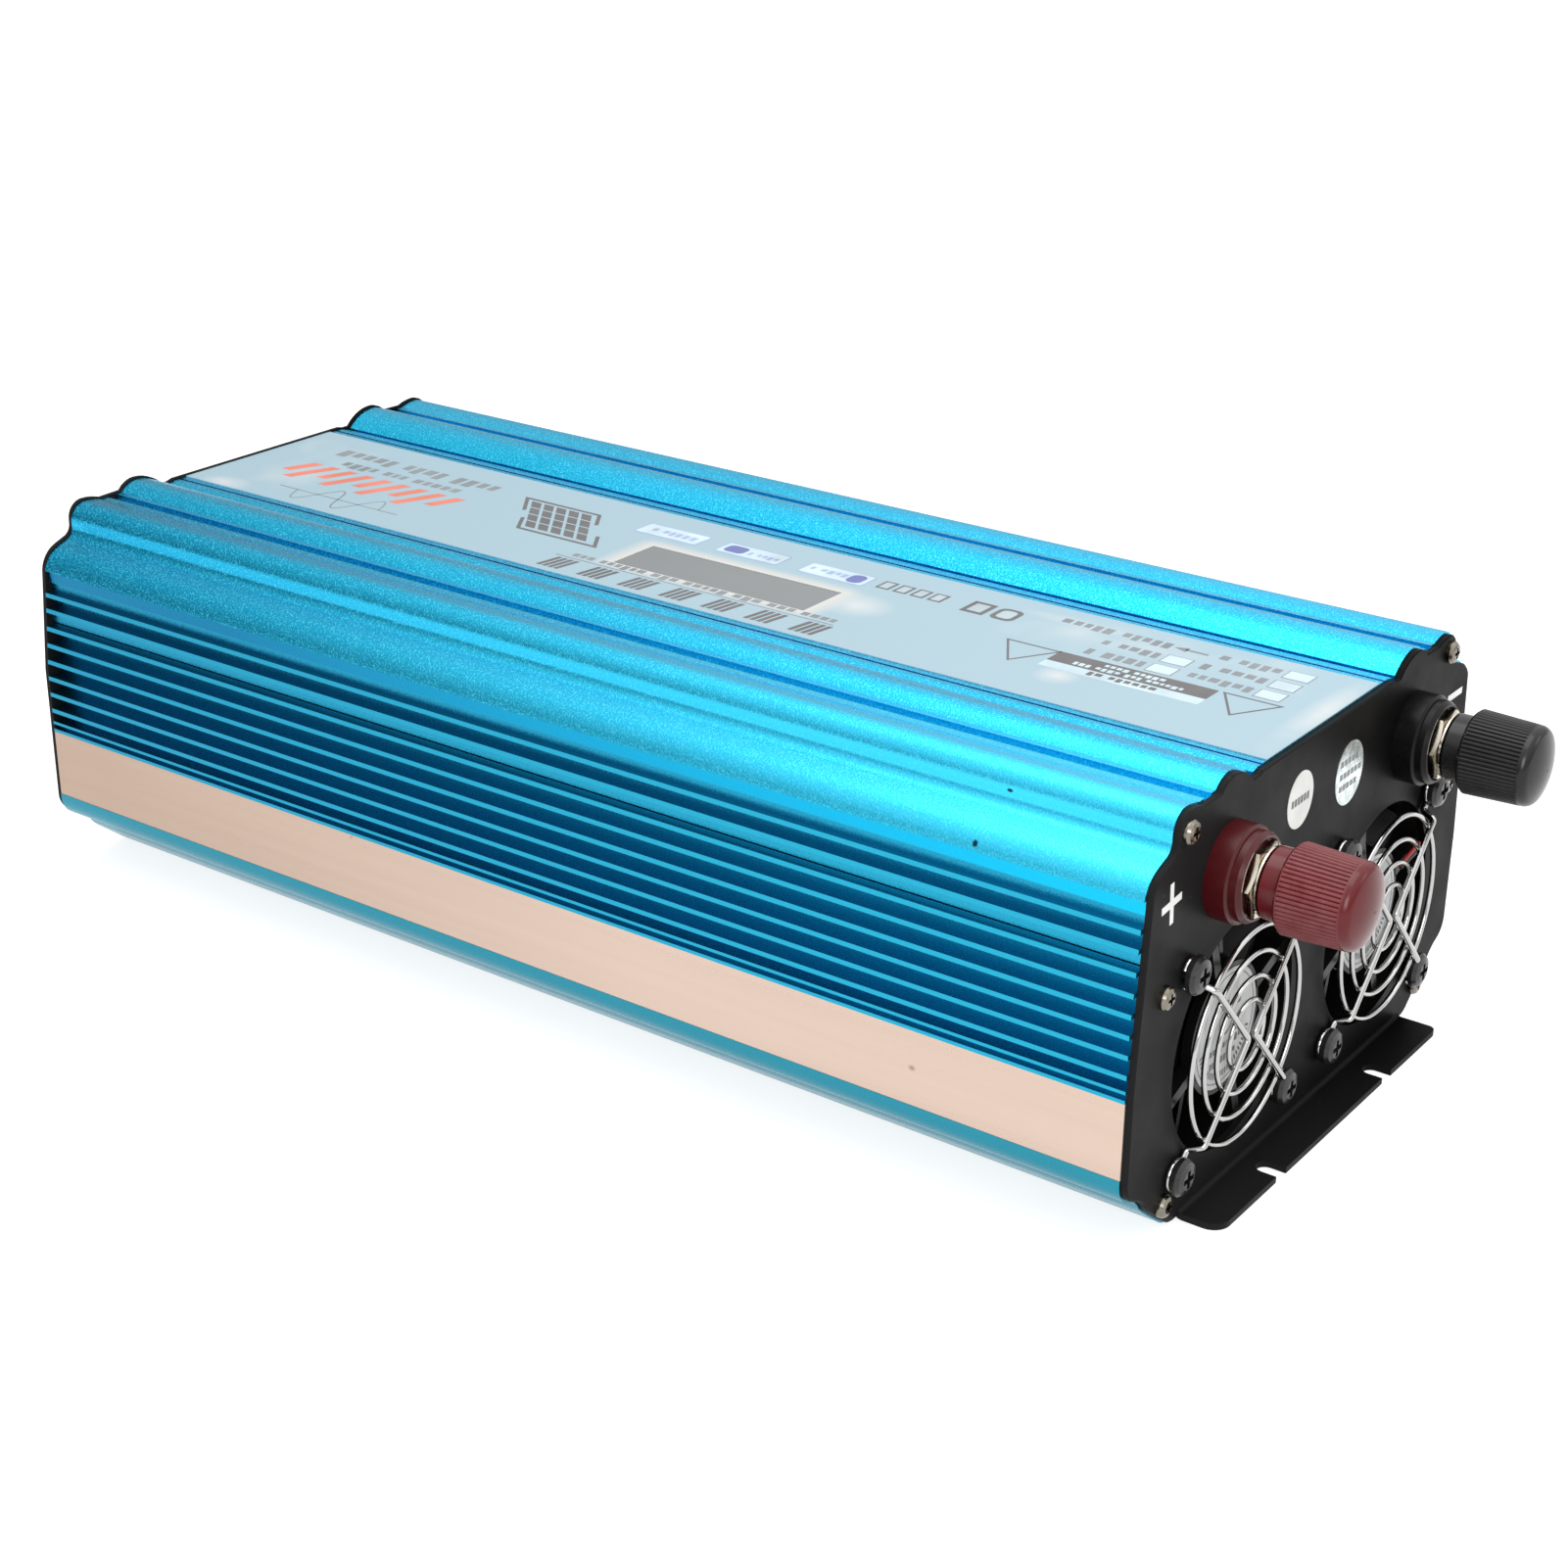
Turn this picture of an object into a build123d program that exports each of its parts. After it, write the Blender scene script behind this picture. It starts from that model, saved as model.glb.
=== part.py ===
from build123d import *
import os
from math import cos, radians, sin, sqrt, tan

# Power inverter in a blue extruded case.
# Millimetres. X across, Y along the case, Z up. The battery end with the fans and the two
# terminals is at -Y, the socket end at +Y. The origin is the centre of the base, on its underside.

# ---- driving dimensions ----
LENGTH = 344.0              # over both end plates
SHEET = 1.6                 # end plate and flange sheet
WALL = 2.6                  # extrusion wall
FRONT_PLATE_FIT = (0.5, 0.0)    # outline inside the extrusion's, and how far it sits high
REAR_PLATE_FIT = (0.1, 0.6)
CASE_HALF = LENGTH / 2 - SHEET
FRONT = -LENGTH / 2         # outer face of the front plate
REAR = LENGTH / 2           # outer face of the rear plate

# case section
HALF_WIDTH = 83.5
SHOULDER_HALF = 81.2        # the side leans in from LEAN_Z up to the shoulder
LEAN_Z = 58.0
TOP_Z = 101.0               # flat top
VALLEY = (35.0, 100.5)      # foot of the flat top, beside the inner groove
RIDGE_FOOT = (37.2, 100.5)
RIDGE = (46.9, 104.7)       # crest of the inner ridge
RIDGE_END = (52.4, 102.2)
WAVE_FOOT = (59.4, 102.0)
WAVE = (65.5, 103.1)        # crest of the outer ridge
WAVE_RADIUS = 5.0
HOLLOW_RADIUS = 3.2
HOLLOW_Z = 97.0
SHOULDER_RADIUS = 8.0
SHOULDER_TILT = 20.0        # fall of the shoulder flank, degrees
BELLY_RADIUS = 6.5
BELLY_Z = 20.5
TUCK = (74.6, 11.2)         # foot of the belly, where the foot of the case begins
FOOT_TILT = 38.7            # slope of the foot's underside, degrees
FOOT_TOE = 1.5              # the slope runs between these heights
FOOT_KNEE = 7.9
BASE_HALF = 59.6
LIP_Z = 86.9                # lower edge of the shoulder's curve
BAND_X = 80.2               # flat band under the shoulder's lip
FASCIA_Z = 83.6             # underside of the band
FASCIA_FLOOR_X = 79.4       # shallow groove below the band
FASCIA_SLIT = (0.8, 0.4)    # narrow slit along its top: depth, height
FIN_COUNT = 8
FIN_TOP = 80.8
FIN_PITCH = 4.77
SEAM_FIN_RISE = 0.4         # the fin above the seam sits a little high
FIN_THICK = 1.2
FIN_ROOT_X = 78.5           # outer face of the wall between fins
SEAM_FLOOR_X = 80.3         # the groove that holds the seam is shallower
SEAM_GROOVE = 2             # its place, counted from the shoulder
CAVITY_HALF = FIN_ROOT_X - WALL
SEAM_Z = 72.1               # joint of the upper and lower halves
SEAM_GAP = 0.4
TONGUE_DEPTH = 2.4
TONGUE_THICK = 1.2
STRIP_LOW = 21.6
STRIP_HIGH = 40.5
STRIP_SEAT_X = 82.9
STRIP_THICK = 0.5
BEAD_Z = (43.6, 41.4)       # tops of the two beads above the strip
BEAD_THICK = 0.8
LABEL_GROOVE = (30.7, 31.5, 0.9)    # from x, to x, depth
INNER_GROOVE = (35.3, 37.0, 1.7)
OUTER_GROOVE = (54.2, 57.4, 1.2)

# end plate and flange
FLANGE_HALF = 58.0
FLANGE_REACH = 10.8
FLANGE_CORNERS = ((0, 4.5), (-1, 2.0))  # low-x end first, radius of its corner
BEND_RADIUS = 1.2
PLATE_LEAN = ((83.1, 42.5), (79.2, 100.0))  # line that trims the front plate's sides
PLATE_EDGE = 0.35           # bevel round an end plate's outer rim
SLOT_X = 28.4
SLOT_WIDTH = 5.0
SLOT_DEPTH = 6.3

# screws through the end plates into the screw ports: x, z, port radius
CASE_SCREWS = [(66.3, 98.1, 3.0), (72.0, 61.7, 3.2), (66.0, 7.6, 2.6)]
PORT_HOLE = 1.5
CASE_SCREW_SHANK = 1.45
CASE_SCREW_HEAD = 2.8
CASE_SCREW_HIGH = 1.8
CASE_SCREW_LONG = 12.0

# fans
FAN_X = 37.15
FAN_Z = 38.7
FAN_SIZE = 60.0
FAN_DEPTH = 25.0
FAN_CORNER = 4.5
FAN_PITCH = 50.0            # screw spacing
FAN_BORE = 28.6
FAN_HOLE = 28.4             # hole in the plate
HUB_RADIUS = 15.9
BLADE_TIP = 27.6
BLADE_COUNT = 7
SHAFT = 1.5
RUNNING = 0.05              # radial clearance of a running fit
RING_WIRE = 0.65            # guard wire radii
CROSS_WIRE = 0.8
GUARD_RINGS = (25.8, 19.6, 13.8, 8.2)
RING_STAND = 3.1            # guard rings stand off the plate
CROSS_STAND = 4.4           # the two bent wires run in front of the rings
CROSS_APART = 1.45          # from the fan's middle to each bent wire
EYE_RADIUS = 3.4
FAN_SCREW_HEAD = 4.5

# terminals
TERMINAL_X = 47.1
TERMINAL_Z = 82.4
POST_BASE = 11.2
STUD = 4.0
STUD_TIP = 27.0             # measured out from the plate face
STUD_TAIL = 20.0            # measured in from the plate face
NUT_FLATS = 15.0
KNOB_START = 11.05
KNURL_START = 15.6
KNURL_END = 31.0
KNOB_TIP = 34.3
NECK_RADIUS = 8.2
KNURL_BIG = 10.35
KNURL_SMALL = 9.85
RIDGE_COUNT = 60
NOTCH = 0.52                # side of the square that cuts one knurl groove
INSERT = 6.0
DOME_FROM = 30.4            # the knob's rounded end starts here
DOME_CORNER = (1.55, 2.3)   # how far its corner arc runs in and out

# label and display
LABEL_HALF = 28.6
LABEL_THICK = 0.25
WINDOW = (-13.0, 3.8, -35.0, 26.0)  # x from, x to, y from, y to

# rear fittings
SOCKETS = (38.0, -10.0)
SOCKET_Z = 58.0
SOCKET_FACE = 45.0
SOCKET_BODY = 40.0
SOCKET_DEPTH = 24.0
SOCKET_PROUD = 3.0
SWITCH_X = -56.0
SWITCH_Z = 74.0
ROCKER_TILT = 9.0
ROCKER_HALF = 10.5
ROCKER_WIDTH = 16.4
USB = (-56.0, 46.0)
LAMPS = [(-61.0, 30.5), (-51.0, 30.5)]
VENT_COUNT = 15
VENT_PITCH = 7.0

# inside
BOARD_Z = 12.0
BOARD_THICK = 1.6
BOARD_HALF = 65.0
BOARD_FROM = -136.0
BOARD_TO = 128.0
BOARD_TOP = BOARD_Z + BOARD_THICK
STANDOFFS = [(x, y) for x in (-56.0, 56.0) for y in (-128.0, -4.0, 120.0)]


# ---- helpers ----
def prism(sketch, y_low, y_high):
    """Extrude a sketch drawn in X and Z between two stations along Y."""
    station = Plane(origin=(0, y_high, 0), x_dir=(1, 0, 0), z_dir=(0, -1, 0))
    return extrude(station * sketch, y_high - y_low)


def rod(x, z, radius, y_low, y_high):
    return prism(Pos(x, z) * Circle(radius), y_low, y_high)


def upright(x, y, radius, z_low, z_high):
    return Pos(x, y, (z_low + z_high) / 2) * Cylinder(radius, z_high - z_low)


def block(x, y, z):
    """Box between the (low, high) pairs x, y and z."""
    size = [pair[1] - pair[0] for pair in (x, y, z)]
    centre = [(pair[1] + pair[0]) / 2 for pair in (x, y, z)]
    return Pos(*centre) * Box(*size)


def slab(x_low, x_high, z_low, z_high):
    """Rectangle in the section plane."""
    return Pos((x_low + x_high) / 2, (z_low + z_high) / 2) * Rectangle(x_high - x_low, z_high - z_low)


def turned(x, z, points):
    """Turn a (radius, y) outline about the Y-directed axis through x, z."""
    return Pos(x, 0, z) * revolve(make_face(Polyline(*points, close=True)), Axis.Y)


def both(shape):
    """The shape and its mirror image across the case's middle."""
    return shape + mirror(shape, Plane.YZ)


def tube(points, radius, bend):
    """Round lead along straight runs joined by tangent arcs."""
    path = FilletPolyline(*points, radius=bend)
    return sweep(Plane(path @ 0, z_dir=path % 0) * Circle(radius), path)


def group(shapes):
    return Compound(children=list(shapes))


# ---- case section ----
def envelope():
    """Closed outline of the case without fins or grooves."""
    tilt = radians(SHOULDER_TILT)
    drop = (WAVE[0] + WAVE_RADIUS, WAVE[1] - WAVE_RADIUS)
    hollow = (drop[0], HOLLOW_Z)
    flank = (hollow[0] + HOLLOW_RADIUS * (1 - sin(tilt)), HOLLOW_Z - HOLLOW_RADIUS * cos(tilt))
    crown_x = SHOULDER_HALF - SHOULDER_RADIUS * (1 - sin(tilt))
    crown = (crown_x, flank[1] - (crown_x - flank[0]) * sin(tilt) / cos(tilt))
    side_top = (SHOULDER_HALF, crown[1] - SHOULDER_RADIUS * cos(tilt))
    belly = (HALF_WIDTH - BELLY_RADIUS * (1 - sin(tilt)), BELLY_Z - BELLY_RADIUS * cos(tilt))
    slope = radians(FOOT_TILT)
    toe = (BASE_HALF + FOOT_TOE / tan(slope / 2), FOOT_TOE)
    knee = (toe[0] + (FOOT_KNEE - FOOT_TOE) / tan(slope), FOOT_KNEE)
    outline = [
        Line((0, 0), (0, TOP_Z)),
        Line((0, TOP_Z), (VALLEY[0] - 2, TOP_Z)),
        Line((VALLEY[0] - 2, TOP_Z), VALLEY),
        Line(VALLEY, RIDGE_FOOT),
        TangentArc(RIDGE, RIDGE_FOOT, tangent=(-1, 0)),
        TangentArc(RIDGE, RIDGE_END, tangent=(1, 0)),
        Line(RIDGE_END, WAVE_FOOT),
        TangentArc(WAVE, WAVE_FOOT, tangent=(-1, 0)),
        TangentArc(WAVE, drop, tangent=(1, 0)),
        Line(drop, hollow),
        TangentArc(hollow, flank, tangent=(0, -1)),
        Line(flank, crown),
        TangentArc(side_top, crown, tangent=(0, 1)),
        Line(side_top, (HALF_WIDTH, LEAN_Z)),
        Line((HALF_WIDTH, LEAN_Z), (HALF_WIDTH, BELLY_Z)),
        TangentArc((HALF_WIDTH, BELLY_Z), belly, tangent=(0, -1)),
        TangentArc(belly, TUCK, tangent=(-cos(tilt), -sin(tilt))),
        TangentArc(knee, TUCK, tangent=(cos(slope), sin(slope))),
        Line(knee, toe),
        TangentArc((BASE_HALF, 0), toe, tangent=(1, 0)),
        Line((BASE_HALF, 0), (0, 0)),
    ]
    half = make_face(outline)
    return half + mirror(half, Plane.YZ)


def side_cuts():
    """Everything cut out of one side of the outline: fin grooves, bead gaps and the strip seat."""
    out = HALF_WIDTH + 2
    fins = [FIN_TOP - k * FIN_PITCH for k in range(FIN_COUNT)]
    fins[SEAM_GROOVE - 1] += SEAM_FIN_RISE
    tops = [FASCIA_Z] + [top - FIN_THICK for top in fins]
    floors = fins + [BEAD_Z[0]]
    roots = [FIN_ROOT_X] * len(tops)
    roots[0] = FASCIA_FLOOR_X
    roots[SEAM_GROOVE] = SEAM_FLOOR_X
    cuts = [slab(root, out, low, high) for root, high, low in zip(roots, tops, floors)]
    slit_deep, slit_high = FASCIA_SLIT
    cuts.append(slab(FASCIA_FLOOR_X - slit_deep, out, FASCIA_Z - slit_high, FASCIA_Z))
    cuts.append(slab(BAND_X, out, FASCIA_Z, LIP_Z))
    cuts.append(slab(HALF_WIDTH - 2.2, out, BEAD_Z[1], BEAD_Z[0] - BEAD_THICK))
    cuts.append(slab(STRIP_SEAT_X, out, STRIP_LOW, STRIP_HIGH))
    return Sketch() + cuts


def top_cuts():
    """The long grooves beside the label and at the feet of the ridges."""
    cuts = []
    grooves = ((LABEL_GROOVE, TOP_Z), (INNER_GROOVE, VALLEY[1]), (OUTER_GROOVE, RIDGE_END[1]))
    for (x_low, x_high, depth), surface in grooves:
        cuts.append(slab(x_low, x_high, surface - depth, surface + 2))
    return Sketch() + cuts


def screw_ports():
    """Round screw ports of one side, on webs from the wall and the floor."""
    ports = [Pos(x, z) * Circle(radius) for x, z, radius in CASE_SCREWS]
    web_x, web_z, web = CASE_SCREWS[1]
    ports.append(slab(web_x, CAVITY_HALF + 1, web_z - web, web_z + web))
    foot_x, foot_z, foot = CASE_SCREWS[2]
    ports.append(slab(foot_x - foot, foot_x + foot, 0, foot_z))
    return Sketch() + ports


def case_section():
    outline = envelope()
    side_pocket = slab(-HALF_WIDTH + 3.3, HALF_WIDTH - 3.3, STRIP_LOW - 2, STRIP_HIGH - 1)
    middle = slab(-CAVITY_HALF, CAVITY_HALF, 0, TOP_Z + 9)
    cavity = offset(outline, -WALL) & (middle + side_pocket)
    section = outline - cavity
    section -= both(side_cuts())
    section -= both(top_cuts())
    section += both(screw_ports()) & outline
    for x, z, _ in CASE_SCREWS:
        section -= both(Pos(x, z) * Circle(PORT_HOLE))
    return section


def tongue(gap):
    """Lip of the upper half that drops behind the lower half's rim, grown by a gap."""
    inner = slab(CAVITY_HALF - gap, CAVITY_HALF + TONGUE_THICK + gap, SEAM_Z - TONGUE_DEPTH - gap, SEAM_Z + 1)
    return both(inner)


def upper_shell(section):
    above = slab(-HALF_WIDTH, HALF_WIDTH, SEAM_Z + SEAM_GAP / 2, TOP_Z + 9)
    shell = prism((section & above) + tongue(0), -CASE_HALF, CASE_HALF)
    x_low, x_high, y_low, y_high = WINDOW
    return shell - block((x_low, x_high), (y_low, y_high), (TOP_Z - 9, TOP_Z + 1))


def lower_shell(section):
    below = slab(-HALF_WIDTH, HALF_WIDTH, -1, SEAM_Z - SEAM_GAP / 2)
    return prism((section & below) - tongue(0.1), -CASE_HALF, CASE_HALF)


def side_strip(side):
    strip = block((STRIP_SEAT_X, STRIP_SEAT_X + STRIP_THICK), (-CASE_HALF, CASE_HALF), (STRIP_LOW, STRIP_HIGH))
    return strip if side > 0 else mirror(strip, Plane.YZ)


# ---- end plates ----
def plate_blank(inset, rise, trimmed=False):
    """Flat sheet of a front plate with its bent-out flange, and the case screw holes."""
    bend = BEND_RADIUS + SHEET
    sheet = Pos(0, rise) * offset(envelope(), -inset)
    if trimmed:
        low, high = PLATE_LEAN
        beyond = HALF_WIDTH + 5
        sheet -= both(make_face(Polyline(low, high, (beyond, high[1]), (beyond, low[1]), close=True)))
    station = Plane(origin=(0, FRONT + PLATE_EDGE, 0), x_dir=(1, 0, 0), z_dir=(0, -1, 0))
    plate = prism(sheet, FRONT + PLATE_EDGE, FRONT + SHEET) + extrude(station * sheet, PLATE_EDGE, taper=45)
    plate -= block((-FLANGE_HALF, FLANGE_HALF), (FRONT - 1, FRONT + 3), (-1, bend))
    edge = FRONT - FLANGE_REACH
    inner = (FRONT - BEND_RADIUS, SHEET)
    outer = (FRONT - BEND_RADIUS, 0)
    fold = make_face([
        Line((edge, 0), outer),
        TangentArc(outer, (FRONT + SHEET, bend), tangent=(1, 0)),
        Line((FRONT + SHEET, bend), (FRONT, bend)),
        TangentArc(inner, (FRONT, bend), tangent=(1, 0)),
        Line(inner, (edge, SHEET)),
        Line((edge, SHEET), (edge, 0)),
    ])
    plate += extrude(Plane.YZ * fold, FLANGE_HALF, both=True)
    for side, corner in FLANGE_CORNERS:
        ends = plate.edges().filter_by(Axis.Z).filter_by(lambda line: line.center().Y < edge + 0.1)
        plate = fillet(ends.sort_by(Axis.X)[side], corner)
    for x in (-SLOT_X, SLOT_X):
        centre_y = edge + SLOT_DEPTH - SLOT_WIDTH / 2
        slot = upright(x, centre_y, SLOT_WIDTH / 2, -1, SHEET + 1)
        slot += block((x - SLOT_WIDTH / 2, x + SLOT_WIDTH / 2), (edge - 1, centre_y), (-1, SHEET + 1))
        plate -= slot
    for x, z, _ in CASE_SCREWS:
        plate -= both(rod(x, z, 1.7, FRONT - 1, FRONT + 3))
    return plate


def fan_corners():
    """Screw places of both fans, as x, z."""
    half = FAN_PITCH / 2
    return [(fan + dx, FAN_Z + dz) for fan in (-FAN_X, FAN_X) for dx in (-half, half) for dz in (-half, half)]


def front_plate():
    plate = plate_blank(*FRONT_PLATE_FIT, trimmed=True)
    for side in (-1, 1):
        plate -= rod(side * FAN_X, FAN_Z, FAN_HOLE, FRONT - 1, FRONT + 3)
        plate -= rod(side * TERMINAL_X, TERMINAL_Z, 7.0, FRONT - 1, FRONT + 3)
    for x, z in fan_corners():
        plate -= rod(x, z, 2.2, FRONT - 1, FRONT + 3)
    return plate


def rear_plate():
    plate = mirror(plate_blank(*REAR_PLATE_FIT), Plane.XZ)
    through = (REAR - 3, REAR + 1)
    for x in SOCKETS:
        half = SOCKET_BODY / 2 + 0.2
        plate -= block((x - half, x + half), through, (SOCKET_Z - half, SOCKET_Z + half))
    plate -= block((SWITCH_X - 11.2, SWITCH_X + 11.2), through, (SWITCH_Z - 13.9, SWITCH_Z + 13.9))
    plate -= block((USB[0] - 8.2, USB[0] + 8.2), through, (USB[1] - 5.2, USB[1] + 5.2))
    for x, z in LAMPS:
        plate -= rod(x, z, 2.7, *through)
    first = -VENT_PITCH * (VENT_COUNT - 1) / 2
    for k in range(VENT_COUNT):
        vent = Pos(first + k * VENT_PITCH, 19.0) * SlotOverall(14.0, 3.0, rotation=90)
        plate -= prism(vent, *through)
    return plate


# ---- screws ----
def cross_recess(x, z, y_face, size, depth):
    """Cross-shaped driver recess sunk inwards from a head's outer face at the front."""
    half, thin = size / 2, size / 7
    bar = block((-half, half), (y_face - 1, y_face + depth), (-thin, thin))
    stem = block((-thin, thin), (y_face - 1, y_face + depth), (-half, half))
    return Pos(x, 0, z) * (bar + stem)


def pan_screw(x, z, y_seat, head, high, shank, long):
    """Pan-head screw driven towards +Y, its head seated at y_seat."""
    face = y_seat - high
    body = turned(x, z, [
        (0, face), (head * 0.55, face), (head * 0.85, face + high * 0.18), (head, face + high * 0.55),
        (head, y_seat), (shank, y_seat), (shank, y_seat + long - 1), (0, y_seat + long),
    ])
    return body - cross_recess(x, z, face, head, high * 0.6)


def case_screws():
    """Six screws of the front plate."""
    screws = []
    for x, z, _ in CASE_SCREWS:
        for side in (-1, 1):
            screws.append(pan_screw(side * x, z, FRONT, CASE_SCREW_HEAD, CASE_SCREW_HIGH,
                                    CASE_SCREW_SHANK, CASE_SCREW_LONG))
    return group(screws)


def fan_screws():
    seat = FRONT - 2 * CROSS_WIRE - 0.1
    return group(pan_screw(x, z, seat, FAN_SCREW_HEAD, 2.5, 1.95, 12.0) for x, z in fan_corners())


# ---- fans ----
def fan_frame(side):
    x = side * FAN_X
    face = FRONT + SHEET
    back = face + FAN_DEPTH
    outline = Pos(x, FAN_Z) * RectangleRounded(FAN_SIZE, FAN_SIZE, FAN_CORNER)
    frame = prism(outline - Pos(x, FAN_Z) * Circle(FAN_BORE), face, back)
    waist = Pos(x, FAN_Z) * (RectangleRounded(FAN_SIZE + 2, FAN_SIZE + 2, FAN_CORNER) - Circle(FAN_BORE + 2))
    frame -= prism(waist, face + 4, back - 4)
    half = FAN_PITCH / 2
    for dx in (-half, half):
        for dz in (-half, half):
            frame -= rod(x + dx, FAN_Z + dz, 2.0, face - 1, back + 1)
    struts = Sketch()
    for turn in (20, 110, 200, 290):
        struts += Rot(0, 0, turn) * (Pos((HUB_RADIUS + FAN_BORE) / 2, 0) * Rectangle(14.0, 2.8))
    frame += prism(Pos(x, FAN_Z) * struts, face + 0.4, face + 3.6)
    frame += rod(x, FAN_Z, HUB_RADIUS, face + 0.6, face + 3.0)
    frame += rod(x, FAN_Z, 11.5, face + 6, face + 14)
    frame += rod(x, FAN_Z, 4.2, face + 3.0, face + 18)
    return frame - rod(x, FAN_Z, SHAFT + RUNNING, face + 3.0, face + 19)


def fan_rotor(side):
    x = side * FAN_X
    face = FRONT + SHEET
    near, far = face + 4.6, face + 22.4
    cup = rod(0, 0, HUB_RADIUS, near - 0.4, far + 0.4) - rod(0, 0, HUB_RADIUS - 1.8, near - 1, far - 1.6)
    blade = Pos((HUB_RADIUS + BLADE_TIP) / 2, (near + far) / 2, 0) * Rot(-52, 0, 0) * Box(14.0, 1.3, 28.0)
    ring = rod(0, 0, BLADE_TIP, near, far) - rod(0, 0, HUB_RADIUS - 0.6, near - 1, far + 1)
    blade = blade & ring
    rotor = cup + rod(0, 0, SHAFT, face + 4.0, far)
    for k in range(BLADE_COUNT):
        rotor += Rot(0, k * 360 / BLADE_COUNT, 0) * blade
    return Pos(x, 0, FAN_Z) * rotor


def fan_sticker(side):
    return rod(side * FAN_X, FAN_Z, 14.6, FRONT + SHEET + 0.45, FRONT + SHEET + 0.6)


def fan_guard(side):
    """Four rings on two bent wires, which end in open eyes round the fan screws."""
    half = FAN_PITCH / 2
    ring_plane = Plane(origin=(0, FRONT - RING_STAND, 0), x_dir=(1, 0, 0), z_dir=(0, -1, 0))
    guard = Part() + [ring_plane * Torus(radius, RING_WIRE) for radius in GUARD_RINGS]
    on_plate = FRONT - CROSS_WIRE - 0.05
    eye_reach = half - EYE_RADIUS / sqrt(2)
    landing = (max(GUARD_RINGS) + 3.3) / sqrt(2)
    kink = (max(GUARD_RINGS) + 1.6) / sqrt(2)
    for way in (-1, 1):
        upper = [(way * eye_reach, on_plate, eye_reach), (way * landing, on_plate, landing),
                 (way * kink, FRONT - CROSS_STAND, kink)]
        lower = [(x, y, -z) for x, y, z in reversed(upper)]
        guard += tube(upper + [(way * CROSS_APART, FRONT - CROSS_STAND, 0)] + lower, CROSS_WIRE, 1.2)
        for end in (-1, 1):
            opening = {(1, 1): -20, (-1, 1): 70, (-1, -1): 160, (1, -1): 250}[(way, end)]
            eye_plane = Plane(origin=(way * half, on_plate, end * half), x_dir=(1, 0, 0), z_dir=(0, -1, 0))
            guard += eye_plane * (Rot(0, 0, opening + 140) * Torus(EYE_RADIUS, CROSS_WIRE, major_angle=300))
    return Pos(side * FAN_X, 0, FAN_Z) * guard


# ---- terminals ----
def post(points):
    """Turned terminal piece, from (radius, distance out from the plate face) pairs."""
    return turned(TERMINAL_X, TERMINAL_Z, [(radius, FRONT - out) for radius, out in points])


def post_base():
    return post([
        (STUD + 0.3, -6), (6.8, -6), (6.8, 0), (POST_BASE, 0), (POST_BASE, 5.0), (POST_BASE - 0.5, 5.6),
        (POST_BASE - 0.9, 5.6), (POST_BASE - 0.9, 7.2), (POST_BASE - 1.6, 8.3), (9.1, 8.3), (9.1, 7.2),
        (STUD + 0.3, 7.2),
    ])


def post_stud():
    return post([(0, -STUD_TAIL), (STUD, -STUD_TAIL), (STUD, STUD_TIP - 1), (STUD - 1, STUD_TIP), (0, STUD_TIP)])


def hex_nut(y_low, y_high):
    """Nut with its corners turned off at both ends."""
    flats = Pos(TERMINAL_X, TERMINAL_Z) * (RegularPolygon(NUT_FLATS / 2, 6, major_radius=False) - Circle(STUD))
    face, corner = NUT_FLATS / 2 - 0.1, NUT_FLATS / sqrt(3)
    run = corner - face
    blank = turned(TERMINAL_X, TERMINAL_Z, [
        (0, y_low), (face, y_low), (corner, y_low + run / 2), (corner, y_high - run / 2), (face, y_high),
        (0, y_high),
    ])
    return prism(flats, y_low, y_high) & blank


def inner_nut():
    """Flat washer and nut on the stud's tail, fused by their clamp load into one stack."""
    stack = hex_nut(FRONT + 7.6, FRONT + 13.0)
    return stack + rod(TERMINAL_X, TERMINAL_Z, 8.2, FRONT + 6.0, FRONT + 7.6) - rod(
        TERMINAL_X, TERMINAL_Z, STUD, FRONT + 5, FRONT + 14)


def knob_washer():
    """Captive washer that rides out with the knob but doesn't turn."""
    return post([(STUD + 0.4, 10.3), (8.0, 10.3), (8.0, 10.75), (STUD + 0.4, 10.75)])


def knob_body():
    """Neck, knurl cone and domed end, hollow for the brass insert."""
    neck = [
        (KNURL_SMALL, DOME_FROM), (KNURL_BIG, KNURL_START + 0.7), (KNURL_BIG - 0.6, KNURL_START),
        (NECK_RADIUS + 0.9, KNURL_START - 0.1), (NECK_RADIUS, KNURL_START - 0.4),
        (NECK_RADIUS, KNOB_START + 0.4), (NECK_RADIUS - 0.4, KNOB_START), (INSERT, KNOB_START),
        (INSERT, STUD_TIP + 1.5), (0, STUD_TIP + 1.5), (0, KNOB_TIP),
    ]
    points = [(radius, FRONT - out) for radius, out in neck]
    brow = (KNURL_SMALL - DOME_CORNER[0], FRONT - DOME_FROM - DOME_CORNER[1])
    outline = make_face([
        Polyline(*points),
        TangentArc(points[-1], brow, tangent=(1, 0)),
        TangentArc(points[0], brow, tangent=(0, -1)),
    ])
    return Pos(TERMINAL_X, 0, TERMINAL_Z) * revolve(outline, Axis.Y)


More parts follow.
